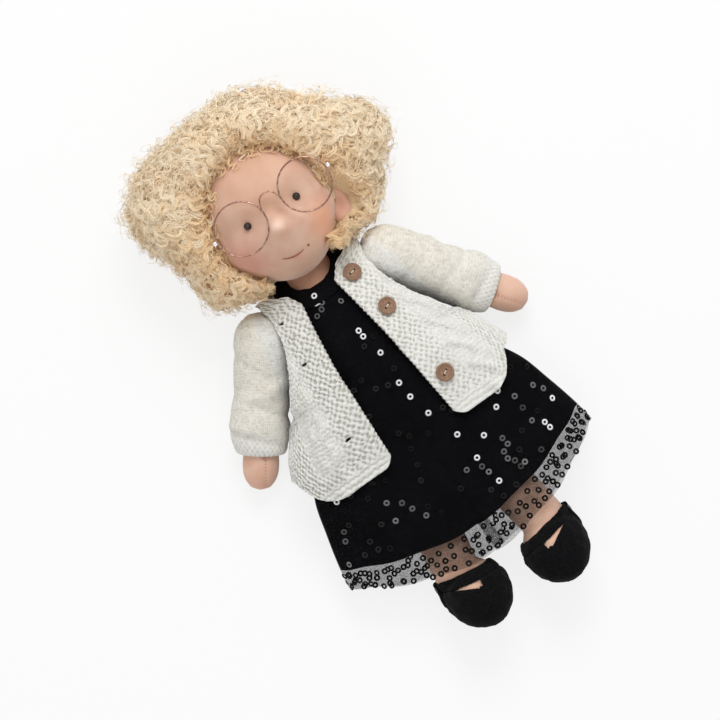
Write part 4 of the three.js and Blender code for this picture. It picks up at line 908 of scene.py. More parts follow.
rim_low, rim_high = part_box("left_rim")
GLASSES_MIDDLE = Vector(((rim_low[0] + rim_high[0]) / 2 - RIM_SPACING / 2,
                         (rim_low[1] + rim_high[1]) / 2, (rim_low[2] + rim_high[2]) / 2))
for name, side in SIDES:
    centre = GLASSES_MIDDLE + Vector((side * RIM_SPACING / 2, 0, 0))
    turns = [2 * math.pi * i / 96 for i in range(96)]
    ring = [centre + Vector((math.cos(a), math.sin(a), 0)) * RIM_RADIUS for a in turns]
    rim = tube(name + "_wire_rim", ring, WIRE_RADIUS, sides=12, closed=True)
    dressed(rim, rose_gold, "glasses", "rose_gold", name + "_rim")

    edge = [(LENS_RADIUS, -LENS_EDGE / 2), (LENS_RADIUS, LENS_EDGE / 2)]
    for share in (0.75, 0.5, 0.25, 0):
        edge.append((LENS_RADIUS * share, LENS_EDGE / 2 + LENS_BULGE * (1 - share * share)))
    for share in (0.25, 0.5, 0.75, 1):
        edge.append((LENS_RADIUS * share, LENS_BULGE * (1 - share * share) - LENS_EDGE / 2))
    pane = spun(edge, 64)
    bmesh.ops.translate(pane, verts=pane.verts, vec=centre)
    dressed(link_mesh(name + "_lens_pane", pane), lens_glass, "glasses", "lens", name + "_lens")

    hinge_place = GLASSES_MIDDLE + Vector((side * (RIM_SPACING / 2 + RIM_RADIUS + HINGE.x / 2 + 0.3 * MM),
                                           HINGE_RISE, 0))
    block = bmesh.new()
    bmesh.ops.create_cube(block, size=1,
                          matrix=Matrix.Translation(hinge_place) @ Matrix.Diagonal((*HINGE, 1)))
    bmesh.ops.bevel(block, geom=block.edges, offset=0.35 * MM, segments=3, profile=0.5, affect="EDGES",
                    material=-1)
    for across in (-1, 1):
        screw_place = hinge_place + Vector((0, across * HINGE.y * 0.22, HINGE.z / 2))
        bmesh.ops.create_uvsphere(block, u_segments=16, v_segments=8, radius=SCREW_RADIUS,
                                  matrix=Matrix.Translation(screw_place))
    dressed(link_mesh(name + "_hinge_block", block), hinge_steel, "glasses", "hinge_steel", name + "_hinge")

    back = -HINGE.z / 2
    arm_line = [hinge_place + Vector((side * bow * TEMPLE_BOW, -along_back * HINGE_RISE * 2,
                                      back - along_back * TEMPLE_LENGTH))
                for along_back, bow in TEMPLE_SHARES]
    temple = tube(name + "_wire_temple", arm_line, WIRE_RADIUS * 1.2, sides=12)
    dressed(temple, rose_gold, "glasses", "rose_gold", name + "_temple")

bridge_half = RIM_SPACING / 2 - RIM_RADIUS
bridge_line = [GLASSES_MIDDLE + Vector((across * bridge_half, up * BRIDGE_HEIGHT, 0.4 * MM))
               for across, up in BRIDGE_SHARES]
bridge = tube("wire_bridge", bridge_line, WIRE_RADIUS, sides=12)
solder = bmesh.new()
solder.from_mesh(bridge.data)
for end in (bridge_line[0], bridge_line[-1]):
    bmesh.ops.create_uvsphere(solder, u_segments=16, v_segments=8, radius=SOLDER_RADIUS,
                              matrix=Matrix.Translation(end))
bpy.data.objects.remove(bridge)
dressed(link_mesh("soldered_bridge", solder), rose_gold, "glasses", "rose_gold", "bridge")

# Arms. Long jersey pods filled with wool, each tied on through the shoulder with waxed thread and ending
# in a plain mitten hand with a tuck and a hand sewn seam down its back.
SHOULDER = Vector((38, 36, 24)) * MM
ARM_SPLAY = math.radians(36.3)
ARM_DROP = math.radians(12.0)
ARM_RADII = [(-11.2, 0.4), (-9.5, 6), (-6, 9.4), (0, 11.2), (26, 9.6), (44, 8.4), (52, 8.3), (58, 8.9),
             (64, 9.2), (69, 8.5), (73, 6.5), (75.5, 3.6), (76.5, 0.4)]
HAND_START = 50 * MM
HAND_FLATNESS = 0.87
TUCK_PLACE = 57 * MM
TUCK_DEPTH = 1.5 * MM
SEAM_DEPTH = 0.35 * MM
SEAM_STITCH = 1.7 * MM
SEAM_THREAD = (0.42, 0.22, 0.15, 1)


def turned(profile, sides):
    """A closed form turned about Y from places along -Y and radii, both in millimetres."""
    shape = bmesh.new()
    line = [shape.verts.new((radius * MM, -place * MM, 0)) for place, radius in profile]
    for first, second in zip(line, line[1:]):
        shape.edges.new((first, second))
    bmesh.ops.spin(shape, geom=shape.verts[:] + shape.edges[:], cent=(0, 0, 0), axis=(0, 1, 0),
                   angle=2 * math.pi, steps=sides, use_merge=True)
    bmesh.ops.remove_doubles(shape, verts=shape.verts, dist=MERGE)
    rims = [edge for edge in shape.edges if edge.is_boundary]
    if rims:
        bmesh.ops.contextual_create(shape, geom=rims)
        bmesh.ops.holes_fill(shape, edges=[edge for edge in shape.edges if edge.is_boundary])
    bmesh.ops.recalc_face_normals(shape, faces=shape.faces)
    return shape


def smooth_table(table, count):
    """A table of place and value drawn as a smooth run of many places."""
    at = np.array([row[0] for row in table], float)
    value = np.array([row[1] for row in table], float)
    slope = np.gradient(value, at)
    fine = np.linspace(at[0], at[-1], count)
    i = np.clip(np.searchsorted(at, fine, side="right") - 1, 0, len(at) - 2)
    step = at[i + 1] - at[i]
    t = (fine - at[i]) / step
    level = (2 * t ** 3 - 3 * t ** 2 + 1) * value[i] + (3 * t ** 2 - 2 * t ** 3) * value[i + 1]
    bend = (t ** 3 - 2 * t ** 2 + t) * step * slope[i] + (t ** 3 - t ** 2) * step * slope[i + 1]
    return list(zip(fine, level + bend))


def arm_frame(side):
    """Where an arm's own frame lies, with its origin in the shoulder."""
    middle = Vector((side * SHOULDER.x, SHOULDER.y, SHOULDER.z))
    return Matrix.Translation(middle) @ Euler((ARM_DROP, 0, side * ARM_SPLAY)).to_matrix().to_4x4()


waxed, waxed_tree, waxed_shader = surface("waxed_linen", (0.74, 0.64, 0.48, 1), 0.6)
twist = add_node(waxed_tree, "TexWave", {"bands_direction": "DIAGONAL"}, Vector=places(waxed_tree),
                 Scale=1500).outputs["Fac"]
raise_by(waxed_tree, waxed_shader, twist, 0.1 * MM)
seam_thread, seam_tree, seam_shader = surface("seam_thread", SEAM_THREAD, 0.8)
raise_by(seam_tree, seam_shader, noise_of(seam_tree, 3000, 2.0), 0.05 * MM)


def hand_blush_and_shadow(side):
    """Warmer fingertips and a shadow in the tuck."""
    frame_here = arm_frame(side)

    def tint(tree, color):
        tip = frame_here @ Vector((0, -74 * MM, 3 * MM))
        tuck = frame_here @ Vector((-side * 2.5 * MM, -TUCK_PLACE, 7.5 * MM))
        color = tinted(tree, color, CRIMSON, tip, 9 * MM, 0.28)
        # Painted shade in the tuck.
        return tinted(tree, color, SHADOW_BROWN, tuck, 4 * MM, 0.5)

    return tint


for name, side in SIDES:
    pod = turned(smooth_table(ARM_RADII, 120), 72)
    for corner in pod.verts:
        x, y, z = corner.co
        hand_share = min(1.0, max(0.0, (-y - HAND_START) / (8 * MM)))
        z *= 1 - (1 - HAND_FLATNESS) * hand_share
        if z > 0 and hand_share > 0:
            seam_x = -side * 2.5 * MM
            z -= TUCK_DEPTH * bell(math.hypot(x - seam_x, y + TUCK_PLACE) / (2.2 * MM))
            z -= SEAM_DEPTH * hand_share * bell((x - seam_x) / (0.7 * MM))
        corner.co = (x, y, z)
    bmesh.ops.transform(pod, matrix=arm_frame(side), verts=pod.verts)
    body = name + "_arm"
    arm = link_mesh(name + "_arm_pod", pod)
    dressed(arm, jersey(name + "_arm_jersey", hand_blush_and_shadow(side)), body, "jersey", name + "_arm_skin")

    ladder = bmesh.new()
    for i in range(9):
        y = -TUCK_PLACE - 3 * MM - i * SEAM_STITCH
        radius = along(ARM_RADII, -y / MM) * MM
        z = radius * HAND_FLATNESS * math.sqrt(max(0.1, 1 - (2.5 * MM / radius) ** 2)) - 0.2 * MM
        stitch_place = Matrix.Translation((-side * 2.5 * MM, y, z)) @ Matrix.Diagonal((0.9, 0.45, 0.35, 1))
        bmesh.ops.create_uvsphere(ladder, u_segments=10, v_segments=6, radius=0.5 * MM, matrix=stitch_place)
    bmesh.ops.transform(ladder, matrix=arm_frame(side), verts=ladder.verts)
    dressed(link_mesh(name + "_hand_seam", ladder), seam_thread, body, "jersey")

    knot = link_mesh(name + "_tied_thread", soft_copy(name + "_shoulder_knot", 1))
    dressed(knot, waxed, name + "_shoulder", "waxed_thread", name + "_shoulder_knot")

# Legs. Jersey tubes filled with wool, with the feet turned down into the shoes.
HIP = Vector((14.5, -46, 20)) * MM
ANKLE = Vector((25.6, -120, 14)) * MM
RIGHT_SHORTER = 4 * MM
LEG_RADII = [(-13.4, 0.4), (-11, 7.4), (-7, 11.5), (0, 13.4), (40, 12.5), (75, 11.7), (80, 11.5)]
FOOT_HALF = Vector((15.4, 21, 12)) * MM
FOOT_TURN = math.radians(40 - 90)
FOOT_TOE_IN = math.radians(12)
FOOT_INWARD = 5 * MM
FOOT_DROP = 11.2 * MM
FOOT_FORWARD = 7.4 * MM
SOLE_INSET = 4.5 * MM


def leg_length(side):
    """From the hip to the ankle. The right leg is a little shorter."""
    return (HIP - ANKLE - Vector((0, RIGHT_SHORTER if side < 0 else 0, 0))).length


def leg_frame(side):
    """Where a leg's own frame lies, with its origin in the hip."""
    reach = ANKLE + Vector((0, RIGHT_SHORTER if side < 0 else 0, 0)) - HIP
    drop = math.asin(-reach.z / reach.length)
    splay = math.atan2(reach.x, -reach.y)
    middle = Vector((side * HIP.x, HIP.y, HIP.z))
    return Matrix.Translation(middle) @ Euler((drop, 0, side * splay)).to_matrix().to_4x4()


def foot_frame(side):
    """Where a foot lies in its leg's frame."""
    place = Vector((-side * FOOT_INWARD, -leg_length(side) - FOOT_DROP, FOOT_FORWARD))
    return Matrix.Translation(place) @ Euler((FOOT_TURN, 0, -side * FOOT_TOE_IN)).to_matrix().to_4x4()


def foot_form(side, out, shape=None):
    """The foot's egg, that much larger all round, with its sole cut flat, in the leg's frame."""
    shape = shape or bmesh.new()
    size = [half + out for half in FOOT_HALF]
    made = bmesh.ops.create_icosphere(shape, subdivisions=5, radius=1)["verts"]
    flat = -(FOOT_HALF.z - SOLE_INSET + out)
    for corner in made:
        corner.co = (corner.co.x * size[0], corner.co.y * size[1], max(flat, corner.co.z * size[2]))
    bmesh.ops.transform(shape, matrix=foot_frame(side), verts=made)
    return shape


def hardened(piece):
    """The piece with its modifiers worked into its mesh."""
    mesh = bpy.data.meshes.new_from_object(piece.evaluated_get(bpy.context.evaluated_depsgraph_get()))
    piece.modifiers.clear()
    piece.data = mesh
    for face in mesh.polygons:
        face.use_smooth = True
    return piece


def melted(piece, voxel, rounds):
    """Joins and rounds a piece's solids into one even skin."""
    skin_over = piece.modifiers.new("skin", "REMESH")
    skin_over.mode = "VOXEL"
    skin_over.voxel_size = voxel
    ease = piece.modifiers.new("ease", "SMOOTH")
    ease.factor = 0.5
    ease.iterations = rounds
    return hardened(piece)


for name, side in SIDES:
    shin = turned(smooth_table(LEG_RADII, 40), 48)
    foot_form(side, 0, shin)
    bmesh.ops.transform(shin, matrix=leg_frame(side), verts=shin.verts)
    limb = melted(link_mesh(name + "_leg_tube", shin), 0.9 * MM, 6)
    dressed(limb, skin, name + "_leg", "jersey", name + "_leg_skin")

# Shoes. Black wool felt, hand cut with soft wavy edges: an upper open at the ankle with a notch under the
# strap, an oval sole, and a strap that is sewn on the inner side and closes with a press stud.
FELT_BLACK = (0.0035, 0.0035, 0.004, 1)
FELT_LIGHT = (0.008, 0.008, 0.009, 1)
FELT_VOXEL = 0.55 * MM
felt, felt_tree, felt_shader = surface("wool_felt", FELT_BLACK, 1.0, Sheen_Weight=0.04, Sheen_Roughness=0.5)
felt_shader.inputs["Specular IOR Level"].default_value = 0.04
matted = stretched(felt_tree, noise_of(felt_tree, 900, 4.0, distortion=1.0), 0.35, 0.75)
plug(felt_tree, two_tones(felt_tree, matted, FELT_BLACK, FELT_LIGHT), felt_shader.inputs["Base Color"])
raise_by(felt_tree, felt_shader, noise_of(felt_tree, 1500, 4.0), 0.25 * MM)
press_steel, press_tree, press_shader = surface("gunmetal", (0.035, 0.035, 0.04, 1), 0.35, Metallic=1.0)
raise_by(press_tree, press_shader, noise_of(press_tree, 2500, 2.0), 0.03 * MM)


def felted(node, name, body, slot, finish, rounds=14, voxel=FELT_VOXEL, swell=0.0, more=None):
    """A CAD node's solid with its corners softened as cut felt, and swollen back to its size."""
    solid = more or bmesh.new()
    solid.from_mesh(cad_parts[node].data)
    bmesh.ops.remove_doubles(solid, verts=solid.verts, dist=MERGE)
    piece = melted(link_mesh(name, solid), voxel, rounds)
    if swell:
        soft = bmesh.new()
        soft.from_mesh(piece.data)
        for corner in soft.verts:
            wave = noise.noise(corner.co * 230) * 0.35 * MM
            corner.co += corner.normal * (swell + wave)
        soft.to_mesh(piece.data)
        soft.free()
    return dressed(piece, finish, body, slot, node)


NOTCH = [(-8.6, 5.0), (-8.6, -3.6), (7.4, -0.3), (7.4, 3.5)]
COUNTER_RADII = [(0.6, 12.3), (-5, 12.6), (-9, 13.6), (-12, 13.9)]
COUNTER_WALL = 1.5 * MM
COUNTER_TURNS = (math.radians(166), math.radians(374))


def heel_counter(side):
    """The part of the upper that wraps the back of the ankle and carries the ends of the strap."""
    counter = bmesh.new()
    bmesh.ops.create_grid(counter, x_segments=60, y_segments=12, size=0.5)
    for corner in counter.verts:
        turn = COUNTER_TURNS[0] + (COUNTER_TURNS[1] - COUNTER_TURNS[0]) * (corner.co.x + 0.5)
        down = -12 + 12.6 * (corner.co.y + 0.5)
        radius = along(sorted(COUNTER_RADII), down) * MM
        shift = min(0.0, down) / -12 * Vector((-side * 2.4, 0, 3.0)) * MM
        wrapped = Vector((radius * math.cos(turn), down * MM - leg_length(side), radius * math.sin(turn)))
        corner.co = wrapped + shift
    counter.normal_update()
    bmesh.ops.solidify(counter, geom=counter.faces, thickness=COUNTER_WALL)
    bmesh.ops.recalc_face_normals(counter, faces=counter.faces)
    bmesh.ops.transform(counter, matrix=leg_frame(side), verts=counter.verts)
    return counter


def cut_notch(upper, side):
    """Cuts the slit under the strap, tallest at its inner end."""
    wedge = bmesh.new()
    top = -leg_length(side) / MM - STRAP_WIDTH
    near = [wedge.verts.new(Vector((side * x, top + y, 2)) * MM) for x, y in NOTCH]
    far = [wedge.verts.new(Vector((side * x, top + y, 40)) * MM) for x, y in NOTCH]
    wedge.faces.new(near)
    wedge.faces.new(reversed(far))
    for i in range(len(near)):
        j = (i + 1) % len(near)
        wedge.faces.new((near[j], near[i], far[i], far[j]))
    bmesh.ops.recalc_face_normals(wedge, faces=wedge.faces)
    bmesh.ops.transform(wedge, matrix=leg_frame(side), verts=wedge.verts)
    knife = link_mesh("notch_knife", wedge)
    snip = upper.modifiers.new("notch", "BOOLEAN")
    snip.operation = "DIFFERENCE"
    snip.solver = "EXACT"
    snip.object = knife
    hardened(upper)
    bpy.data.objects.remove(knife)


STRAP_WIDTH = 5
for name, side in SIDES:
    upper = felted(name + "_shoe_upper", name + "_felt_upper", name + "_leg", "felt", felt, 10, 0.65 * MM,
                   0.45 * MM, heel_counter(side))
    cut_notch(upper, side)
    felted(name + "_shoe_sole", name + "_felt_sole", name + "_leg", "felt", felt, 6)
    felted(name + "_shoe_strap", name + "_felt_strap", name + "_strap", "felt", felt, 5, 0.5 * MM, 0.45 * MM)
    stud = soft_copy(name + "_shoe_stud", 1)
    dressed(link_mesh(name + "_press_stud", stud), press_steel, name + "_strap", "press_stud",
            name + "_shoe_stud")

# Dress. A fuzzy black knit bodice and lining skirt, with a sheer black net skirt over it that reaches past
# the hem. Small cupped ring sequins are sewn all over, close together along the sheer hem. The skirt is
# cut in two halves down the middle, so that each half can lift with its leg.
BLACK = (0.0035, 0.0035, 0.0042, 1)
SOFT_BLACK = (0.009, 0.009, 0.0105, 1)
BODY_Z = 23.6
WAIST_Y = -6
SKIRT_LENGTH = 75
SKIRT_HALVES = [(-0.07, 27.2), (0, 27.4), (0.12, 39.7), (0.3, 51.3), (0.5, 60.7), (0.75, 66.5), (1, 71),
                (1.3, 74.1)]
SKIRT_TOPS = [(-0.07, 42.4), (0.16, 42.4), (0.35, 40.4), (0.6, 35.7), (1, 29), (1.3, 28.2)]
SKIRT_BOTTOMS = [(-0.07, 4.8), (0.64, 4.8), (0.8, 1.6), (1.3, 1.6)]
SKIRT_TOP_SHARE = -0.06
CENTRE_DROP = 20
DROP_START_SHARE = 0.45
DROP_POWER = 1.3
FOLD_START_SHARE = 0.6
FOLD_HEIGHT = 1.8
FOLD_COUNT = 5
FLAP_SHARE = 0.012
FLAP_SINK = 1.3
LEG_FOLLOW = ((0, -30 * MM, 0), (0, -72 * MM, 0))

dress_cloth, dress_tree, dress_shader = surface("fuzzy_black_knit", BLACK, 1.0, Sheen_Weight=0.03,
                                                Sheen_Roughness=0.5)
dress_shader.inputs["Specular IOR Level"].default_value = 0.02
pile = stretched(dress_tree, noise_of(dress_tree, 700, 5.0, distortion=1.2), 0.35, 0.75)
worn_patches = stretched(dress_tree, noise_of(dress_tree, 60, 2.0), 0.35, 0.7, 0.2, 1.0)
both = add_node(dress_tree, "Math", {"operation": "MULTIPLY"}, _0=pile, _1=worn_patches).outputs[0]
plug(dress_tree, two_tones(dress_tree, both, BLACK, SOFT_BLACK), dress_shader.inputs["Base Color"])
raise_by(dress_tree, dress_shader, noise_of(dress_tree, 1300, 5.0), 0.5 * MM)

bodice = felted("dress_bodice", "knit_bodice", "torso", "lining_cloth", dress_cloth, 8, 0.8 * MM)

BAND_TURN = math.radians(105)
BAND_WALL = 1.5 * MM
BAND_FOOT = (25.5, 35, 16, 18.2)
BAND_TOP = (13.6, 44.2, 9, 13.6)
BAND_SIDES_IN = 3
BAND_BULGE = Vector((0.35, 1, 0.35)) * 1.1


def band_ring(turn, half, front_y, climb, depth):
    """A point of a ring round the neck, from its front at 0, which climbs to the nape."""
    return Vector((half * math.sin(turn), front_y + climb * (1 - math.cos(turn)),
                   BODY_Z + depth * math.cos(turn)))


band = bmesh.new()
bmesh.ops.create_grid(band, x_segments=90, y_segments=16, size=0.5)
for corner in band.verts:
    turn, up = corner.co.x * 2 * BAND_TURN, corner.co.y + 0.5
    low = band_ring(turn, *BAND_FOOT)
    high = band_ring(turn, BAND_TOP[0] - BAND_SIDES_IN * math.sin(turn) ** 4, *BAND_TOP[1:])
    corner.co = (low.lerp(high, up) + BAND_BULGE * math.sin(math.pi * up)) * MM
    corner.co += noise.noise_vector(corner.co * 260) * 0.3 * MM
band.normal_update()
bmesh.ops.solidify(band, geom=band.faces, thickness=BAND_WALL)
bmesh.ops.recalc_face_normals(band, faces=band.faces)
neck_band = link_mesh("knit_neck_band", band)
dressed(neck_band, dress_cloth, "torso", "lining_cloth")

skirt_halves = smooth_table(SKIRT_HALVES, 90)
skirt_tops = smooth_table(SKIRT_TOPS, 90)


def skirt_point(side, around, down, out):
    """A point of the skirt, from the front's middle round its side and from the waist down, that many
    millimetres further out."""
    top = along(skirt_tops, down) + out
    bottom = along(SKIRT_BOTTOMS, down) - out
    half = along(skirt_halves, down) + out
    angle = math.pi * (0.5 - around)
    x = half * math.cos(angle)
    z = (top + bottom) / 2 + (top - bottom) / 2 * math.sin(angle)
    if around < 0 or around > 1:
        x = -x if x > 0 else x
    y = WAIST_Y - down * SKIRT_LENGTH
    hem_share = max(0.0, (down - DROP_START_SHARE) / (1 - DROP_START_SHARE))
    y -= CENTRE_DROP * hem_share ** DROP_POWER * (1 - (x / half) ** 2)
    up = max(0.0, (z - BODY_Z) / (top - BODY_Z))
    fold_share = max(0.0, (down - FOLD_START_SHARE) / (1 - FOLD_START_SHARE))
    z += FOLD_HEIGHT * fold_share * up * (1 + math.cos(FOLD_COUNT * math.pi * x / half)) / 2
    across = side * x
    z += 0.8 * up * math.sin(across * 0.17 + y * 0.07) * math.sin(y * 0.06 + 1) * min(1.0, max(0.0, down * 2))
    past_middle = max(0.0, -around, around - 1) / FLAP_SHARE
    sunk = min(1.0, past_middle * 2) ** 2 * FLAP_SINK
    return Vector((side * x, y, max(0.4, z - sunk * (1 if z > BODY_Z else -0.4)))) * MM


def skirt_half(name, side, last, out, wall, columns, rows, hem_wave):
    """One half of a skirt, as a grid drawn round the body and then given its thickness."""
    half = bmesh.new()
    half.loops.layers.uv.new("UVMap")
    bmesh.ops.create_grid(half, x_segments=columns, y_segments=rows, size=0.5, calc_uvs=True)
    for corner in half.verts:
        around = (corner.co.x + 0.5) * (1 + 2 * FLAP_SHARE) - FLAP_SHARE
        share = corner.co.y + 0.5
        down = SKIRT_TOP_SHARE + (last - SKIRT_TOP_SHARE) * (1 - share)
        down += hem_wave * (1 - share) ** 8 * math.sin(around * 37 + side)
        corner.co = skirt_point(side, around, down, out)
    if side < 0:
        bmesh.ops.reverse_faces(half, faces=half.faces)
    half.normal_update()
    bmesh.ops.solidify(half, geom=half.faces, thickness=wall * MM)
    return link_mesh(name, half)


def skirted(piece, finish, side, node):
    """Dresses a half of a skirt and lets it lift with its leg."""
    leg = ("left" if side > 0 else "right") + "_leg"
    piece.data.materials.append(finish)
    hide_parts(node)
    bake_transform(piece, "torso", leg, start=LEG_FOLLOW[0], end=LEG_FOLLOW[1])
    return piece


net, net_tree, net_shader = surface("sheer_net", (0.006, 0.006, 0.007, 1), 0.95)
net_shader.inputs["Specular IOR Level"].default_value = 0.03
cells = add_node(net_tree, "TexVoronoi", {"feature": "DISTANCE_TO_EDGE"}, Vector=places(net_tree),
                 Scale=1900).outputs["Distance"]
threads = stretched(net_tree, cells, 0.04, 0.2, 0.42, 0.09)
flecks = stretched(net_tree, noise_of(net_tree, 420, 4.0, distortion=2.0), 0.3, 0.65, 0.7, 1.0)
sheer = add_node(net_tree, "Math", {"operation": "MULTIPLY"}, _0=threads, _1=flecks).outputs[0]
plug(net_tree, sheer, net_shader.inputs["Alpha"])
for name, side in SIDES:
    lining = skirt_half(name + "_lining", side, 1.0, 0.9, -0.8, 110, 80, 0.004)
    skirted(lining, dress_cloth, side, "skirt_lining")
    overlay = skirt_half(name + "_overlay", side, 1.13, 1.6, -0.35, 110, 90, 0.006)
    skirted(overlay, net, side, "skirt_overlay")

# Sequins. Cupped rings of foil with a hole for the stitch. A painted reflection lightens each one's colour:
# near white for those that flash silver, smoke grey for the grey ones, and hardly at all for the rest. The
# bright ones lie where the picture shows them.
SEQUIN_RADIUS = 1.65 * MM
SEQUIN_HOLE = 0.6 * MM
SEQUIN_CUP = 0.35 * MM
SEQUIN_STEPS = 14
PICTURE_PIXELS = 720
PIXEL = VIEW_WIDTH / PICTURE_PIXELS
BRIGHT_PIXELS = [
    (358.7, 330.8), (363.2, 336.5), (380.4, 352.7), (398.9, 382.7), (410.1, 396.5), (428.2, 412.8),
    (497.5, 390.7), (496.2, 406.9), (314.4, 296.1), (317.3, 304.3), (457.1, 434.3), (483.8, 435.2),
    (336.8, 502), (552.7, 398.3), (545, 422.2), (550.2, 427.3), (477, 457.7), (499.2, 480.8),
]
GREY_PIXELS = [
    (322, 302.8), (321.8, 309.5), (317.3, 316.3), (341, 301.2), (514.6, 396.2), (522.8, 407.7), (533, 385.2),
    (543.5, 388.5), (532, 420.5), (502.4, 438.2), (507.7, 443.9), (521, 466.3), (525, 461.9), (541.5, 449.7),
    (482, 466.5), (488.8, 471.8), (507.8, 458.5), (515, 460.5), (504, 451.5), (412.3, 508.6), (395.8, 520.9),
    (344.2, 532.2), (345.6, 541.8), (349.4, 565.2), (386.7, 503), (402, 503), (426.3, 515.5), (466.6, 470),
]
DULL_SEQUINS = 90
HEM_SEQUINS = {False: 24, True: 11}
HEM_ROWS = (1.035, 1.075, 1.11)
SEQUIN_ROOM = 4.5 * MM
HEM_SEQUIN_ROOM = 3 * MM


def pixel_place(column, row):
    """Where a pixel of the picture lies on the table, in the doll's frame."""
    across = (column - PICTURE_PIXELS / 2) * PIXEL
    up = (PICTURE_PIXELS / 2 - row) * PIXEL
    turn_cos, turn_sin = math.cos(VIEW_TURN), math.sin(VIEW_TURN)
    return VIEW_MIDDLE + Vector((across * turn_cos - up * turn_sin, across * turn_sin + up * turn_cos))


sequin_foil, foil_tree, foil_shader = surface("sequin_foil", (0.5, 0.5, 0.5, 1), 0.28)
painted_glint = add_node(foil_tree, "Attribute", {"attribute_name": "painted_glint"}).outputs["Fac"]
# Painted reflection: the attribute lightens the foil from black towards near white, and raises its specular.
foil_color = two_tones(foil_tree, painted_glint, (0.005, 0.005, 0.005, 1), (0.95, 0.95, 0.97, 1))
plug(foil_tree, foil_color, foil_shader.inputs["Base Color"])
plug(foil_tree, stretched(foil_tree, painted_glint, 0, 1, 0.02, 0.6), foil_shader.inputs["Specular IOR Level"])
raise_by(foil_tree, foil_shader, noise_of(foil_tree, 2500, 2.0), 0.03 * MM)


def sequin_pattern():
    """One cupped ring of a few dozen faces, which every sequin is a copy of."""
    middle = (SEQUIN_HOLE + SEQUIN_RADIUS) / 2
    ring = spun([(SEQUIN_HOLE, 0), (middle, SEQUIN_CUP), (SEQUIN_RADIUS, SEQUIN_CUP * 0.3),
                 (middle, SEQUIN_CUP * 0.5)], SEQUIN_STEPS, closed=True)
    mesh = bpy.data.meshes.new("sequin_pattern")
    ring.to_mesh(mesh)
    ring.free()
    return mesh


SEQUIN = sequin_pattern()
SEQUIN_HOSTS = {"bodice": bodice, "band": neck_band, "left": bpy.data.objects["left_overlay"],
                "right": bpy.data.objects["right_overlay"]}
SKY = 0.3


def cloth_under(place, hosts):
    """The topmost cloth under a place: its host, the point and the way that it faces."""
    best = None
    for name in hosts:
        hit, point, normal, _ = SEQUIN_HOSTS[name].ray_cast(Vector((*place, SKY)), Vector((0, 0, -1)))
        if hit and (best is None or point.z > best[1].z):
            best = name, point, normal
    return best


sewn = {name: bmesh.new() for name in SEQUIN_HOSTS}
for shape in sewn.values():
    shape.verts.layers.float.new("painted_glint")
sewn_places = []


def sew_sequin(host, point, normal, brightness, tilt):
    """Lays a sequin on its cloth, tilted a little at random."""
    shape = sewn[host]
    layer = shape.verts.layers.float["painted_glint"]
    before = len(shape.verts)
    shape.from_mesh(SEQUIN)
    shape.verts.ensure_lookup_table()
    facing = normal if normal.z > 0 or point.z < 5 * MM else -normal
    lean = Euler((random.uniform(-tilt, tilt), random.uniform(-tilt, tilt), random.uniform(0, 6))).to_matrix()
    place = (Matrix.Translation(point + facing * 0.25 * MM)
             @ (facing.to_track_quat("Z", "Y").to_matrix() @ lean).to_4x4())
    for corner in shape.verts[before:]:
        corner.co = place @ corner.co
        corner[layer] = brightness
    sewn_places.append(point)


bpy.context.view_layer.update()
for pixels, low, high, tilt in ((BRIGHT_PIXELS, 0.9, 1.0, 0.12), (GREY_PIXELS, 0.04, 0.22, 0.3)):
    for column, row in pixels:
        found = cloth_under(pixel_place(column, row), SEQUIN_HOSTS)
        if found:
            sew_sequin(*found, random.uniform(low, high), tilt)
for _ in range(DULL_SEQUINS):
    place = Vector((random.uniform(-64, 64), random.uniform(-98, 40))) * MM
    found = cloth_under(place, SEQUIN_HOSTS)
    if found and min((found[1] - other).length for other in sewn_places) > SEQUIN_ROOM:
        sew_sequin(*found, random.uniform(0.004, 0.025), 0.4)
for host, side in SIDES:
    for back in (False, True):
        for row, down in enumerate(HEM_ROWS):
            for i in range(HEM_SEQUINS[back]):
                around = (i + 0.5 * (row % 2) + random.uniform(-0.35, 0.35)) / HEM_SEQUINS[back] * 0.5
                around = 1 - around if back else around
                here = skirt_point(side, around, down + random.uniform(-0.014, 0.014), 1.6)
                ahead = skirt_point(side, around + 0.01, down, 1.6) - here
                below = skirt_point(side, around, down + 0.01, 1.6) - here
                normal = ahead.cross(below).normalized()
                if (normal.z < 0) != back:
                    normal = -normal
                near = [other for other in sewn_places if abs(other.y - here.y) < HEM_SEQUIN_ROOM]
                if all((here - other).length > HEM_SEQUIN_ROOM for other in near):
                    sew_sequin(host, here, normal, random.uniform(0.0, 0.015), 0.3)
for name, shape in sewn.items():
    sequins = link_mesh(name + "_sequins", shape)
    sequins.data.materials.append(sequin_foil)
    if name in ("bodice", "band"):
        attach(sequins, "torso")
    else:
        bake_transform(sequins, "torso", name + "_leg", start=LEG_FOLLOW[0], end=LEG_FOLLOW[1])

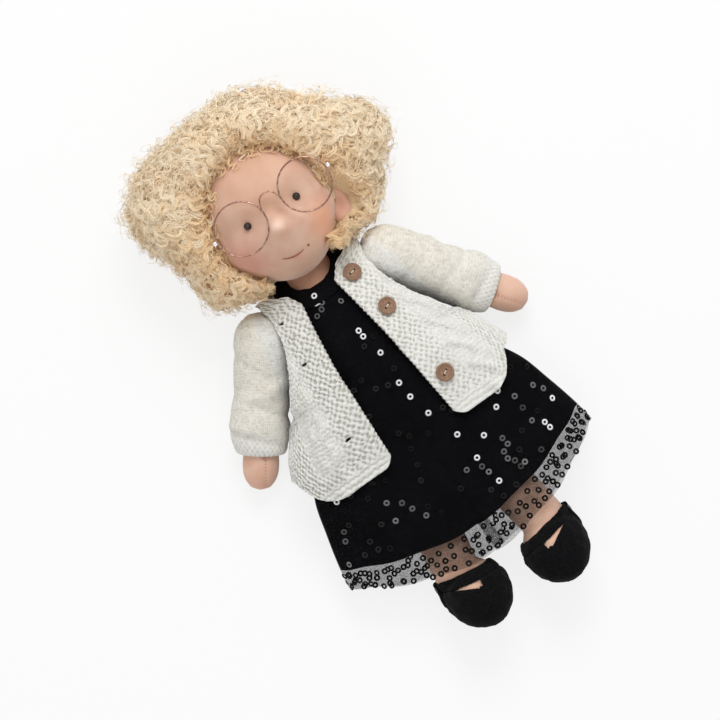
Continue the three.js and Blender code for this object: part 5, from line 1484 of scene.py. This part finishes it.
# Cardigan. Hand knitted from ivory wool: two fronts in moss stitch, each with a soft cable and a garter
# stitch hem, a plain back, and sleeves in finer stockinette, turned in at the cuff. Painted shade darkens
# the wool between the stitches, and a beige painted shade lies over the sleeves' outer sides.
IVORY = (0.81, 0.805, 0.765, 1)
IVORY_GAP_SHADE_AND_MOTTLE = (0.47, 0.46, 0.40, 1)
BEIGE_PAINTED_SHADE = (0.82, 0.78, 0.69, 1)
BEIGE_GAP_PAINTED_SHADE = (0.50, 0.44, 0.34, 1)
CARDIGAN_TOPS = [(-90, 34), (-81, 34.1), (-51, 40.8), (-32.3, 45.3), (-18, 47.4), (2, 47.5), (17.2, 46.6),
                 (30, 44.9), (38.8, 42.7), (46, 40.0), (50, 36.4), (52.5, 31.1)]
CARDIGAN_HALVES = {
    # side: places up the body and half the width there
    -1: [(-58.3, 71.4), (-34.2, 68), (-19.6, 61.2), (-6, 53.7), (14.9, 46.9), (35.8, 44.2), (46.2, 38.8),
         (52.5, 33.3)],
    1: [(-58.3, 71.3), (-34.2, 64.5), (-19.6, 58.3), (-6, 52.1), (14.9, 46.5), (35.8, 44), (46.2, 38.4),
        (52.5, 32.9)],
}
FRONT_EDGES = {
    -1: [(-52, 18.7), (-20, 17.6), (5, 16.2), (25, 13.6), (40, 11.2), (46, 14.5), (50, 22), (52.5, 28)],
    1: [(-52, 20), (-20, 17.2), (5, 14.4), (25, 11.2), (40, 8.7), (46, 13.5), (50, 21.5), (52.5, 28)],
}
HEM_Y, SHOULDER_Y = -52, 52.5
SEAM_Z = 9.6
KNIT_WALL = 2.6
SLEEVE_BALL = 14.9
SLEEVE_LEAN = math.asin(math.sin(ARM_SPLAY) * math.cos(ARM_DROP))
SLEEVE_RADII = [(-14.3, 0.4), (-13.2, 5.5), (-10, 10.2), (-5, 13.4), (0, 14.3), (17, 14.1), (30, 13.7),
                (40, 14.2), (47, 14.3), (52, 13.6), (55.5, 12.7), (57, 11.9)]
SLEEVE_DEPTHS = [(-14.3, 1), (0, 1), (17, 0.95), (34, 0.91), (46, 0.86), (52, 0.83), (57, 0.8)]
SLEEVE_CREASES = [
    # place down the arm, lean, width, height
    (16, 0.6, 3.6, -1.3), (26, -0.5, 4.0, 1.2), (33, 0.35, 3.0, -1.5), (42, -0.3, 4.0, 1.1),
    (49.5, 0.2, 2.4, -1.2),
]
CUFF_END = 57
SLEEVE_SEAM = [(-30, 47), (10, 45), (25, 42), (40, 39), (52, 34)]


def knit_finish(name, light, gap_shade_and_mottle, warm=None):
    """Wool with painted shade in the low places between its stitches, random darker mottling in the same
    colour, and a bloom of loose fibres. Where warm is given, beige painted shade is laid on as the piece's
    shade attribute says.
    """
    finish, tree, shader = surface(name, light, 0.95, Sheen_Weight=0.35, Sheen_Roughness=0.5)
    shader.inputs["Specular IOR Level"].default_value = 0.2
    stitch = add_node(tree, "Attribute", {"attribute_name": "stitch"}).outputs["Fac"]
    # Painted shade: the low places between the stitches take the darker gap colour.
    color = two_tones(tree, stretched(tree, stitch, 0.05, 0.8), gap_shade_and_mottle, light)
    if warm:
        # Beige painted shade, as much as the shade attribute says.
        shade = add_node(tree, "Attribute", {"attribute_name": "shade"}).outputs["Fac"]
        beige_shade_color = two_tones(tree, stretched(tree, stitch, 0.05, 0.8), warm[1], warm[0])
        color = two_tones(tree, shade, color, beige_shade_color)
    mottle = stretched(tree, noise_of(tree, 260, 4.0, distortion=1.5), 0.35, 0.7, 0.0, 0.22)
    color = two_tones(tree, mottle, color, gap_shade_and_mottle)
    plug(tree, color, shader.inputs["Base Color"])
    loose = raise_by(tree, shader, noise_of(tree, 900, 5.0, distortion=1.0), 0.35 * MM, 0.7)
    raise_by(tree, shader, noise_of(tree, 2600, 4.0), 0.15 * MM, 0.8, loose)
    return finish


def cardigan_section(y):
    """Middle height and half depth of the cardigan at a place up the body."""
    top = along(CARDIGAN_TOPS, y)
    low = -2 + (16.1 + 2) * max(0.0, (y - SHOULDER.y / MM) / (SHOULDER_Y - SHOULDER.y / MM)) ** 3
    return (top + low) / 2, (top - low) / 2


def in_sleeve_sweep(x, y, z):
    """Whether a point is in the room that the sleeve needs to swing."""
    out = abs(x) - SHOULDER.x / MM
    away = math.hypot(y - SHOULDER.y / MM, z - SHOULDER.z / MM)
    if away < SLEEVE_BALL * math.sin(SLEEVE_LEAN):
        return out > -math.sqrt(SLEEVE_BALL ** 2 - away ** 2)
    edge = (away - SLEEVE_BALL * math.sin(SLEEVE_LEAN)) * math.tan(SLEEVE_LEAN)
    return out > edge - SLEEVE_BALL * math.cos(SLEEVE_LEAN)


HEM_CORNER_RISE = 15
SIDE_RISE = 6
HEM_CORNER_START = {-1: 48, 1: 42}
CLEAR_SHARES = [(-24, 0), (-19, 0.8), (-16, 1), (-10, 1), (-6, 0.7), (-1, 0)]


def cardigan_half(side, y):
    """Half the width of the cardigan at a place up the body, kept clear of the sleeve that lies beside it."""
    half = along(CARDIGAN_HALVES[side], y)
    sleeve_edge = (SHOULDER.x / MM + (SHOULDER.y / MM - y) * math.tan(ARM_SPLAY)
                   - SLEEVE_BALL / math.cos(ARM_SPLAY))
    return half - max(0.0, half - sleeve_edge) * along(CLEAR_SHARES, y)


def side_angle(side, y):
    """The angle round the body at which a front ends, at its side seam or over the sleeve."""
    middle, depth = cardigan_section(y)
    half = cardigan_half(side, y)
    seam = -math.asin(min(1.0, (middle - SEAM_Z) / depth))
    angle = math.pi / 2
    while angle > seam:
        x, z = half * math.cos(angle), middle + depth * math.sin(angle)
        if y > -12 and in_sleeve_sweep(x + 1.3, y, z):
            return angle
        angle -= math.radians(0.5)
    return seam


def front_point(side, across, up, ends):
    """A point of a front's outer face from its edge to its side, and from the hem to the shoulder, with the
    distances across and up that the stitches follow."""
    y = HEM_Y + (SHOULDER_Y - HEM_Y) * up
    half = cardigan_half(side, y)
    edge = along(FRONT_EDGES[side], y) + 0.5 * abs(math.sin(math.pi * y / 2.7))
    start = math.acos(min(1.0, edge / half))
    end = min(start, along(ends, y))
    angle = start + (end - start) * across
    x = half * math.cos(angle)
    rise = HEM_CORNER_RISE * min(1.0, max(0.0, (x - HEM_CORNER_START[side]) / 20)) ** 2
    rise += SIDE_RISE * max(0.0, (x - 59) / 11) ** 2
    rise += 4 * max(0.0, 1 - (x - edge) / 6) ** 2
    y += rise * (1 - up) ** 2.2
    half = cardigan_half(side, y)
    middle, depth = cardigan_section(y)
    x, z = half * math.cos(angle), middle + depth * math.sin(angle)
    return Vector((side * x, y, z)), (start - angle) * (half + depth) / 2


def uneven(across, up):
    """The place in a stitch pattern, drawn a little out of true as by hand."""
    first = noise.noise(Vector((across * 0.33, up * 0.33, 3.0)))
    second = noise.noise(Vector((across * 0.33, up * 0.33, 9.0)))
    return across + 1.1 * first, up + 1.0 * second


def moss(across, up):
    """Moss stitch: knots in a chequer with small holes of uneven depth between them."""
    knot = math.cos(2 * math.pi * across / 2.7) * math.cos(math.pi * up / 1.95)
    fill = 0.5 + 0.5 * noise.noise(Vector((across * 0.55, up * 0.55, 5.0)))
    share = min(1.0, max(0.0, (knot + 0.45 + 0.9 * fill) / 1.6))
    return share * share * (3 - 2 * share)


def cable(across, up, middle):
    """Two soft ropes of stitches that wind round each other up a front, as a height."""
    turn = math.pi * up / 15
    swing = 3.4 * math.cos(turn)
    over = 1 + 0.35 * math.sin(turn)
    under = 1 - 0.35 * math.sin(turn)
    first = over * bell((across - middle - swing) / 3.1)
    second = under * bell((across - middle + swing) / 3.1)
    return (first + second + math.hypot(first - second, 0.5)) / 2


def garter(across, up):
    """Garter stitch: rows of close ridges."""
    ridge = 0.5 + 0.5 * math.cos(2 * math.pi * (up + 0.35 * math.sin(2 * math.pi * across / 2.6)) / 3.0)
    return ridge ** 0.6 * (0.85 + 0.15 * math.cos(2 * math.pi * across / 1.3))


def stockinette(across, up, width, height):
    """Stockinette: columns of slanting pairs of loops."""
    column = (across / width) % 1.0 - 0.5
    loop = 0.5 + 0.5 * math.cos(2 * math.pi * (up / height + abs(column) * 1.1))
    return (0.35 + 0.65 * loop) * (1 - (abs(abs(column) - 0.25) / 0.25) ** 2) ** 0.5


def knitted(shape, height, wall=None):
    """Raises the stitches of a sheet, and gives it a smooth inner face a wall further in."""
    shape.normal_update()
    stitch_layer = shape.verts.layers.float["stitch"]
    out_layer = shape.verts.layers.float_vector.new("out")
    for corner in shape.verts:
        around = [edge.other_vert(corner).normal for edge in corner.link_edges] if corner.is_boundary else []
        corner[out_layer] = sum(around, Vector(corner.normal)).normalized()
    inner = set()
    if wall:
        grown = bmesh.ops.extrude_face_region(shape, geom=shape.faces[:], use_keep_orig=True)["geom"]
        inner = {item for item in grown if isinstance(item, bmesh.types.BMVert)}
    for corner in shape.verts:
        rise = -wall if corner in inner else corner[stitch_layer] * height
        corner.co += Vector(corner[out_layer]) * rise * MM
    shape.verts.layers.float_vector.remove(shape.verts.layers.float_vector["out"])
    bmesh.ops.recalc_face_normals(shape, faces=shape.faces)


BUTTONHOLES = [(-25.2, 37.4), (-27.6, 14.1), (-31.4, -29.2)]
BUTTONHOLE_HALF = (1.9, 0.7)
CABLE_MIDDLE = 21
CABLE_HEIGHT = {-1: 2.1, 1: 1.8}
ivory_wool = knit_finish("ivory_wool", IVORY, IVORY_GAP_SHADE_AND_MOTTLE)
for name, side in SIDES:
    rows = np.linspace(-58, 52.5, 90)
    plain = np.array([side_angle(side, y) for y in rows])
    eased = np.convolve(np.pad(plain, 5, mode="edge"), np.ones(11) / 11, mode="valid")
    ends = list(zip(rows, eased))
    front = bmesh.new()
    front.loops.layers.uv.new("UVMap")
    stitch_layer = front.verts.layers.float.new("stitch")
    bmesh.ops.create_grid(front, x_segments=130, y_segments=230, size=0.5, calc_uvs=True)
    for corner in front.verts:
        across, up = corner.co.x + 0.5, corner.co.y + 0.5
        point, run = front_point(side, across, up, ends)
        y = point.y
        point.z += CABLE_HEIGHT[side] * (cable(run, y, CABLE_MIDDLE) - 0.5 * bell((run - CABLE_MIDDLE) / 12))
        corner.co = point * MM
        stitch_run, stitch_y = uneven(run, y)
        plain_share = bell(((run - 22) / 8.5) ** 3) * min(1.0, max(0.0, (y - HEM_Y - 11) / 6))
        hem_share = min(1.0, max(0.0, (HEM_Y + 8 - y) / 2))
        hem = 0.25 + 0.75 * garter(stitch_run, stitch_y)
        raised = (1 - hem_share) * moss(stitch_run, stitch_y) + hem_share * hem
        raised += plain_share * (0.2 + 0.8 * stockinette(stitch_run, stitch_y, 2.8, 2.2) - raised)
        softness = 1.0 if side < 0 else 0.8
        corner[stitch_layer] = 1 - softness * (1 - raised)
    if side < 0:
        bmesh.ops.reverse_faces(front, faces=front.faces)
        for hole_x, hole_y in BUTTONHOLES:
            gone = [face for face in front.faces
                    if math.hypot((face.calc_center_median().x / MM - hole_x) / BUTTONHOLE_HALF[0],
                                  (face.calc_center_median().y / MM - hole_y) / BUTTONHOLE_HALF[1]) < 1]
            bmesh.ops.delete(front, geom=gone, context="FACES")
    knitted(front, 1.0 if side < 0 else 0.9, KNIT_WALL)
    panel = link_mesh(name + "_knit_front", front)
    panel.data.materials.append(ivory_wool)
    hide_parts("cardigan_" + name + "_front")
    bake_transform(panel, "torso", name + "_leg", start=LEG_FOLLOW[0], end=LEG_FOLLOW[1])

back_shape = bmesh.new()
back_shape.from_mesh(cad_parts["cardigan_back"].data)
bmesh.ops.remove_doubles(back_shape, verts=back_shape.verts, dist=MERGE)
back = melted(link_mesh("knit_back", back_shape), 0.95 * MM, 12)
back_knit = bmesh.new()
back_knit.from_mesh(back.data)
back_layer = back_knit.verts.layers.float.new("stitch")
for corner in back_knit.verts:
    corner[back_layer] = stockinette(corner.co.x / MM, corner.co.y / MM, 3.4, 2.8)
knitted(back_knit, 0.25)
back_knit.to_mesh(back.data)
back_knit.free()
dressed(back, ivory_wool, "torso", "knit", "cardigan_back")

sleeve_wool = knit_finish("sleeve_wool", IVORY, IVORY_GAP_SHADE_AND_MOTTLE, (BEIGE_PAINTED_SHADE, BEIGE_GAP_PAINTED_SHADE))
SLEEVE_GIRTH = 13.5
SLEEVE_COLUMN, SLEEVE_ROW = 2 * math.pi * SLEEVE_GIRTH / 48, 1.5
for name, side in SIDES:
    sleeve = turned(smooth_table(SLEEVE_RADII, 150), 190)
    lid = [face for face in sleeve.faces
           if face.normal.y < -0.9 and face.calc_center_median().y < (0.5 - CUFF_END) * MM]
    bmesh.ops.delete(sleeve, geom=lid, context="FACES")
    stitch_layer = sleeve.verts.layers.float.new("stitch")
    shade_layer = sleeve.verts.layers.float.new("shade")
    place = arm_frame(side)
    for corner in sleeve.verts:
        x, y, z = corner.co / MM
        angle = math.atan2(z, x)
        depth = along(SLEEVE_DEPTHS, -y)
        creases = 0.0
        for middle, lean, width, height in SLEEVE_CREASES:
            fade = 0.6 + 0.4 * math.sin(angle + middle)
            creases += height * bell((-y - middle - lean * x) / width) * fade
        creases += 1.2 * bell((-y - 42) / 11) * max(0.0, side * math.cos(angle))
        swell = 1 + creases / max(4.0, math.hypot(x, z))
        corner.co = Vector((x * swell, y, z * depth * swell)) * MM
        world = place @ corner.co
        # The shade attribute: beige painted shade over the sleeve's outer side, less of it down the arm, and
        # little at the cuff's end or on the part nearer the body than the seam line.
        seam_x = along(SLEEVE_SEAM, world.y / MM)
        white = 1 / (1 + math.exp((abs(world.x) / MM - seam_x) * 1.5))
        white = max(white, 1 / (1 + math.exp((48 + y) * 0.8)) * 0.75)
        run = angle * SLEEVE_GIRTH
        drawn = 0.5 * noise.noise(Vector((x * 0.25, y * 0.25, z * 0.25)))
        raised = stockinette(run + drawn, -y + 2 * drawn, SLEEVE_COLUMN, SLEEVE_ROW)
        raised = 0.25 + 0.75 * raised + 0.25 * noise.noise(Vector((x * 0.7, y * 0.7, z * 0.7)))
        cuff_share = min(1.0, max(0.0, (-y - 47) / 4)) * 0.8
        corner[stitch_layer] = raised + cuff_share * (0.35 + 0.65 * moss(run, -y) - raised)
        corner[shade_layer] = (1 - white) * (0.9 - 0.35 * min(1.0, max(0.0, (-y - 10) / 45)))
    knitted(sleeve, 0.45)
    sleeve.normal_update()
    bmesh.ops.transform(sleeve, matrix=place, verts=sleeve.verts)
    sleeve.normal_update()
    inner = [edge for edge in sleeve.edges if edge.is_boundary]
    for inset, deeper in ((1.1, -0.5), (1.0, 1.2), (0.2, 5)):
        grown = bmesh.ops.extrude_edge_only(sleeve, edges=inner)["geom"]
        ring = [item for item in grown if isinstance(item, bmesh.types.BMVert)]
        inner = [item for item in grown if isinstance(item, bmesh.types.BMEdge)]
        middle = sum((corner.co for corner in ring), Vector()) / len(ring)
        axis = (place.to_3x3() @ Vector((0, 1, 0))).normalized()
        for corner in ring:
            spoke = corner.co - middle
            corner.co += -spoke.normalized() * inset * MM + axis * deeper * MM
    sleeve_piece = link_mesh(name + "_knit_sleeve", sleeve)
    dressed(sleeve_piece, sleeve_wool, name + "_arm", "sleeve_knit", name + "_sleeve")

# Buttons. Turned wooden discs with a raised rim and two eyes, sewn on with pale thread.
WOOD = (0.27, 0.15, 0.09, 1)
WOOD_DARK = (0.13, 0.065, 0.035, 1)
WOOD_PORES = (0.50, 0.31, 0.19, 1)
EYE_SPREAD = 1.35 * MM
EYE_HOLE = 0.62 * MM
wood, wood_tree, wood_shader = surface("turned_wood", WOOD, 0.6)
rings = add_node(wood_tree, "TexWave", {"bands_direction": "X"},
                 Vector=places(wood_tree, (1, 0.25, 1), (0, 0, 0.5)), Scale=420, Distortion=6.0,
                 Detail=4.0).outputs["Fac"]
pores = stretched(wood_tree, noise_of(wood_tree, 1900, 3.0), 0.45, 0.7)
grain = two_tones(wood_tree, stretched(wood_tree, rings, 0.2, 0.9, 0.0, 0.7), WOOD, WOOD_DARK)
wood_color = two_tones(wood_tree, stretched(wood_tree, pores, 0, 1, 0.0, 0.6), grain, WOOD_PORES)
plug(wood_tree, wood_color, wood_shader.inputs["Base Color"])
raise_by(wood_tree, wood_shader, rings, 0.12 * MM)
BUTTON_PROFILE = [(0, 0), (3.9, 0), (4.5, 0.35), (4.7, 0.9), (4.65, 1.5), (4.35, 1.95), (3.95, 2.0),
                  (3.6, 1.85), (3.3, 1.5), (2.6, 1.38), (0, 1.3)]
panel = bpy.data.objects["left_knit_front"]
for number in (1, 2, 3):
    low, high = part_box(f"button_{number}")
    middle = Vector(((low[0] + high[0]) / 2, (low[1] + high[1]) / 2, 0))
    spread = []
    for turn_share in range(8):
        angle = turn_share * math.pi / 4
        near = Vector((middle.x + 3.5 * MM * math.cos(angle), middle.y + 3.5 * MM * math.sin(angle), SKY))
        hit, spot, _, _ = panel.ray_cast(near, Vector((0, 0, -1)))
        if hit:
            spread.append(spot)
    centre = sum(spread, Vector()) / len(spread)
    away = [spot - centre for spot in spread]
    slope_x = sum(step.x * step.z for step in away) / sum(step.x ** 2 for step in away)
    slope_y = sum(step.y * step.z for step in away) / sum(step.y ** 2 for step in away)
    facing = Vector((-slope_x, -slope_y, 1)).normalized()
    lift = max(step.dot(facing) for step in away)
    seat = (Matrix.Translation(centre + facing * (lift + 0.1 * MM))
            @ facing.to_track_quat("Z", "Y").to_matrix().to_4x4()
            @ Matrix.Rotation(number * 0.9, 4, "Z"))
    disc = spun([(radius * MM, z * MM) for radius, z in BUTTON_PROFILE], 48)
    bmesh.ops.transform(disc, matrix=seat, verts=disc.verts)
    dressed(link_mesh(f"wooden_button_{number}", disc), wood, "torso", "wood", f"button_{number}")
    # The eyes are not cut through: two thin black discs on the button's face stand for the dark holes, as
    # painted shade.
    hole_shadow_discs = bmesh.new()
    for eye in (-1, 1):
        bmesh.ops.create_cone(hole_shadow_discs, cap_ends=True, segments=14, radius1=EYE_HOLE, radius2=EYE_HOLE,
                              depth=0.1 * MM,
                              matrix=seat @ Matrix.Translation((eye * EYE_SPREAD, 0, 1.4 * MM)))
    eyes = link_mesh(f"button_hole_shadows_{number}", hole_shadow_discs)
    dressed(eyes, felt, "torso", "wood")
    strands = bmesh.new()
    for row in (-0.22, 0.0, 0.22):
        bmesh.ops.create_uvsphere(strands, u_segments=12, v_segments=8, radius=1,
                                  matrix=seat @ Matrix.Translation((0, row * MM, 1.45 * MM))
                                  @ Matrix.Diagonal((EYE_SPREAD * 0.95, 0.17 * MM, 0.33 * MM, 1)))
    dressed(link_mesh(f"button_thread_{number}", strands), waxed, "torso", "waxed_thread")
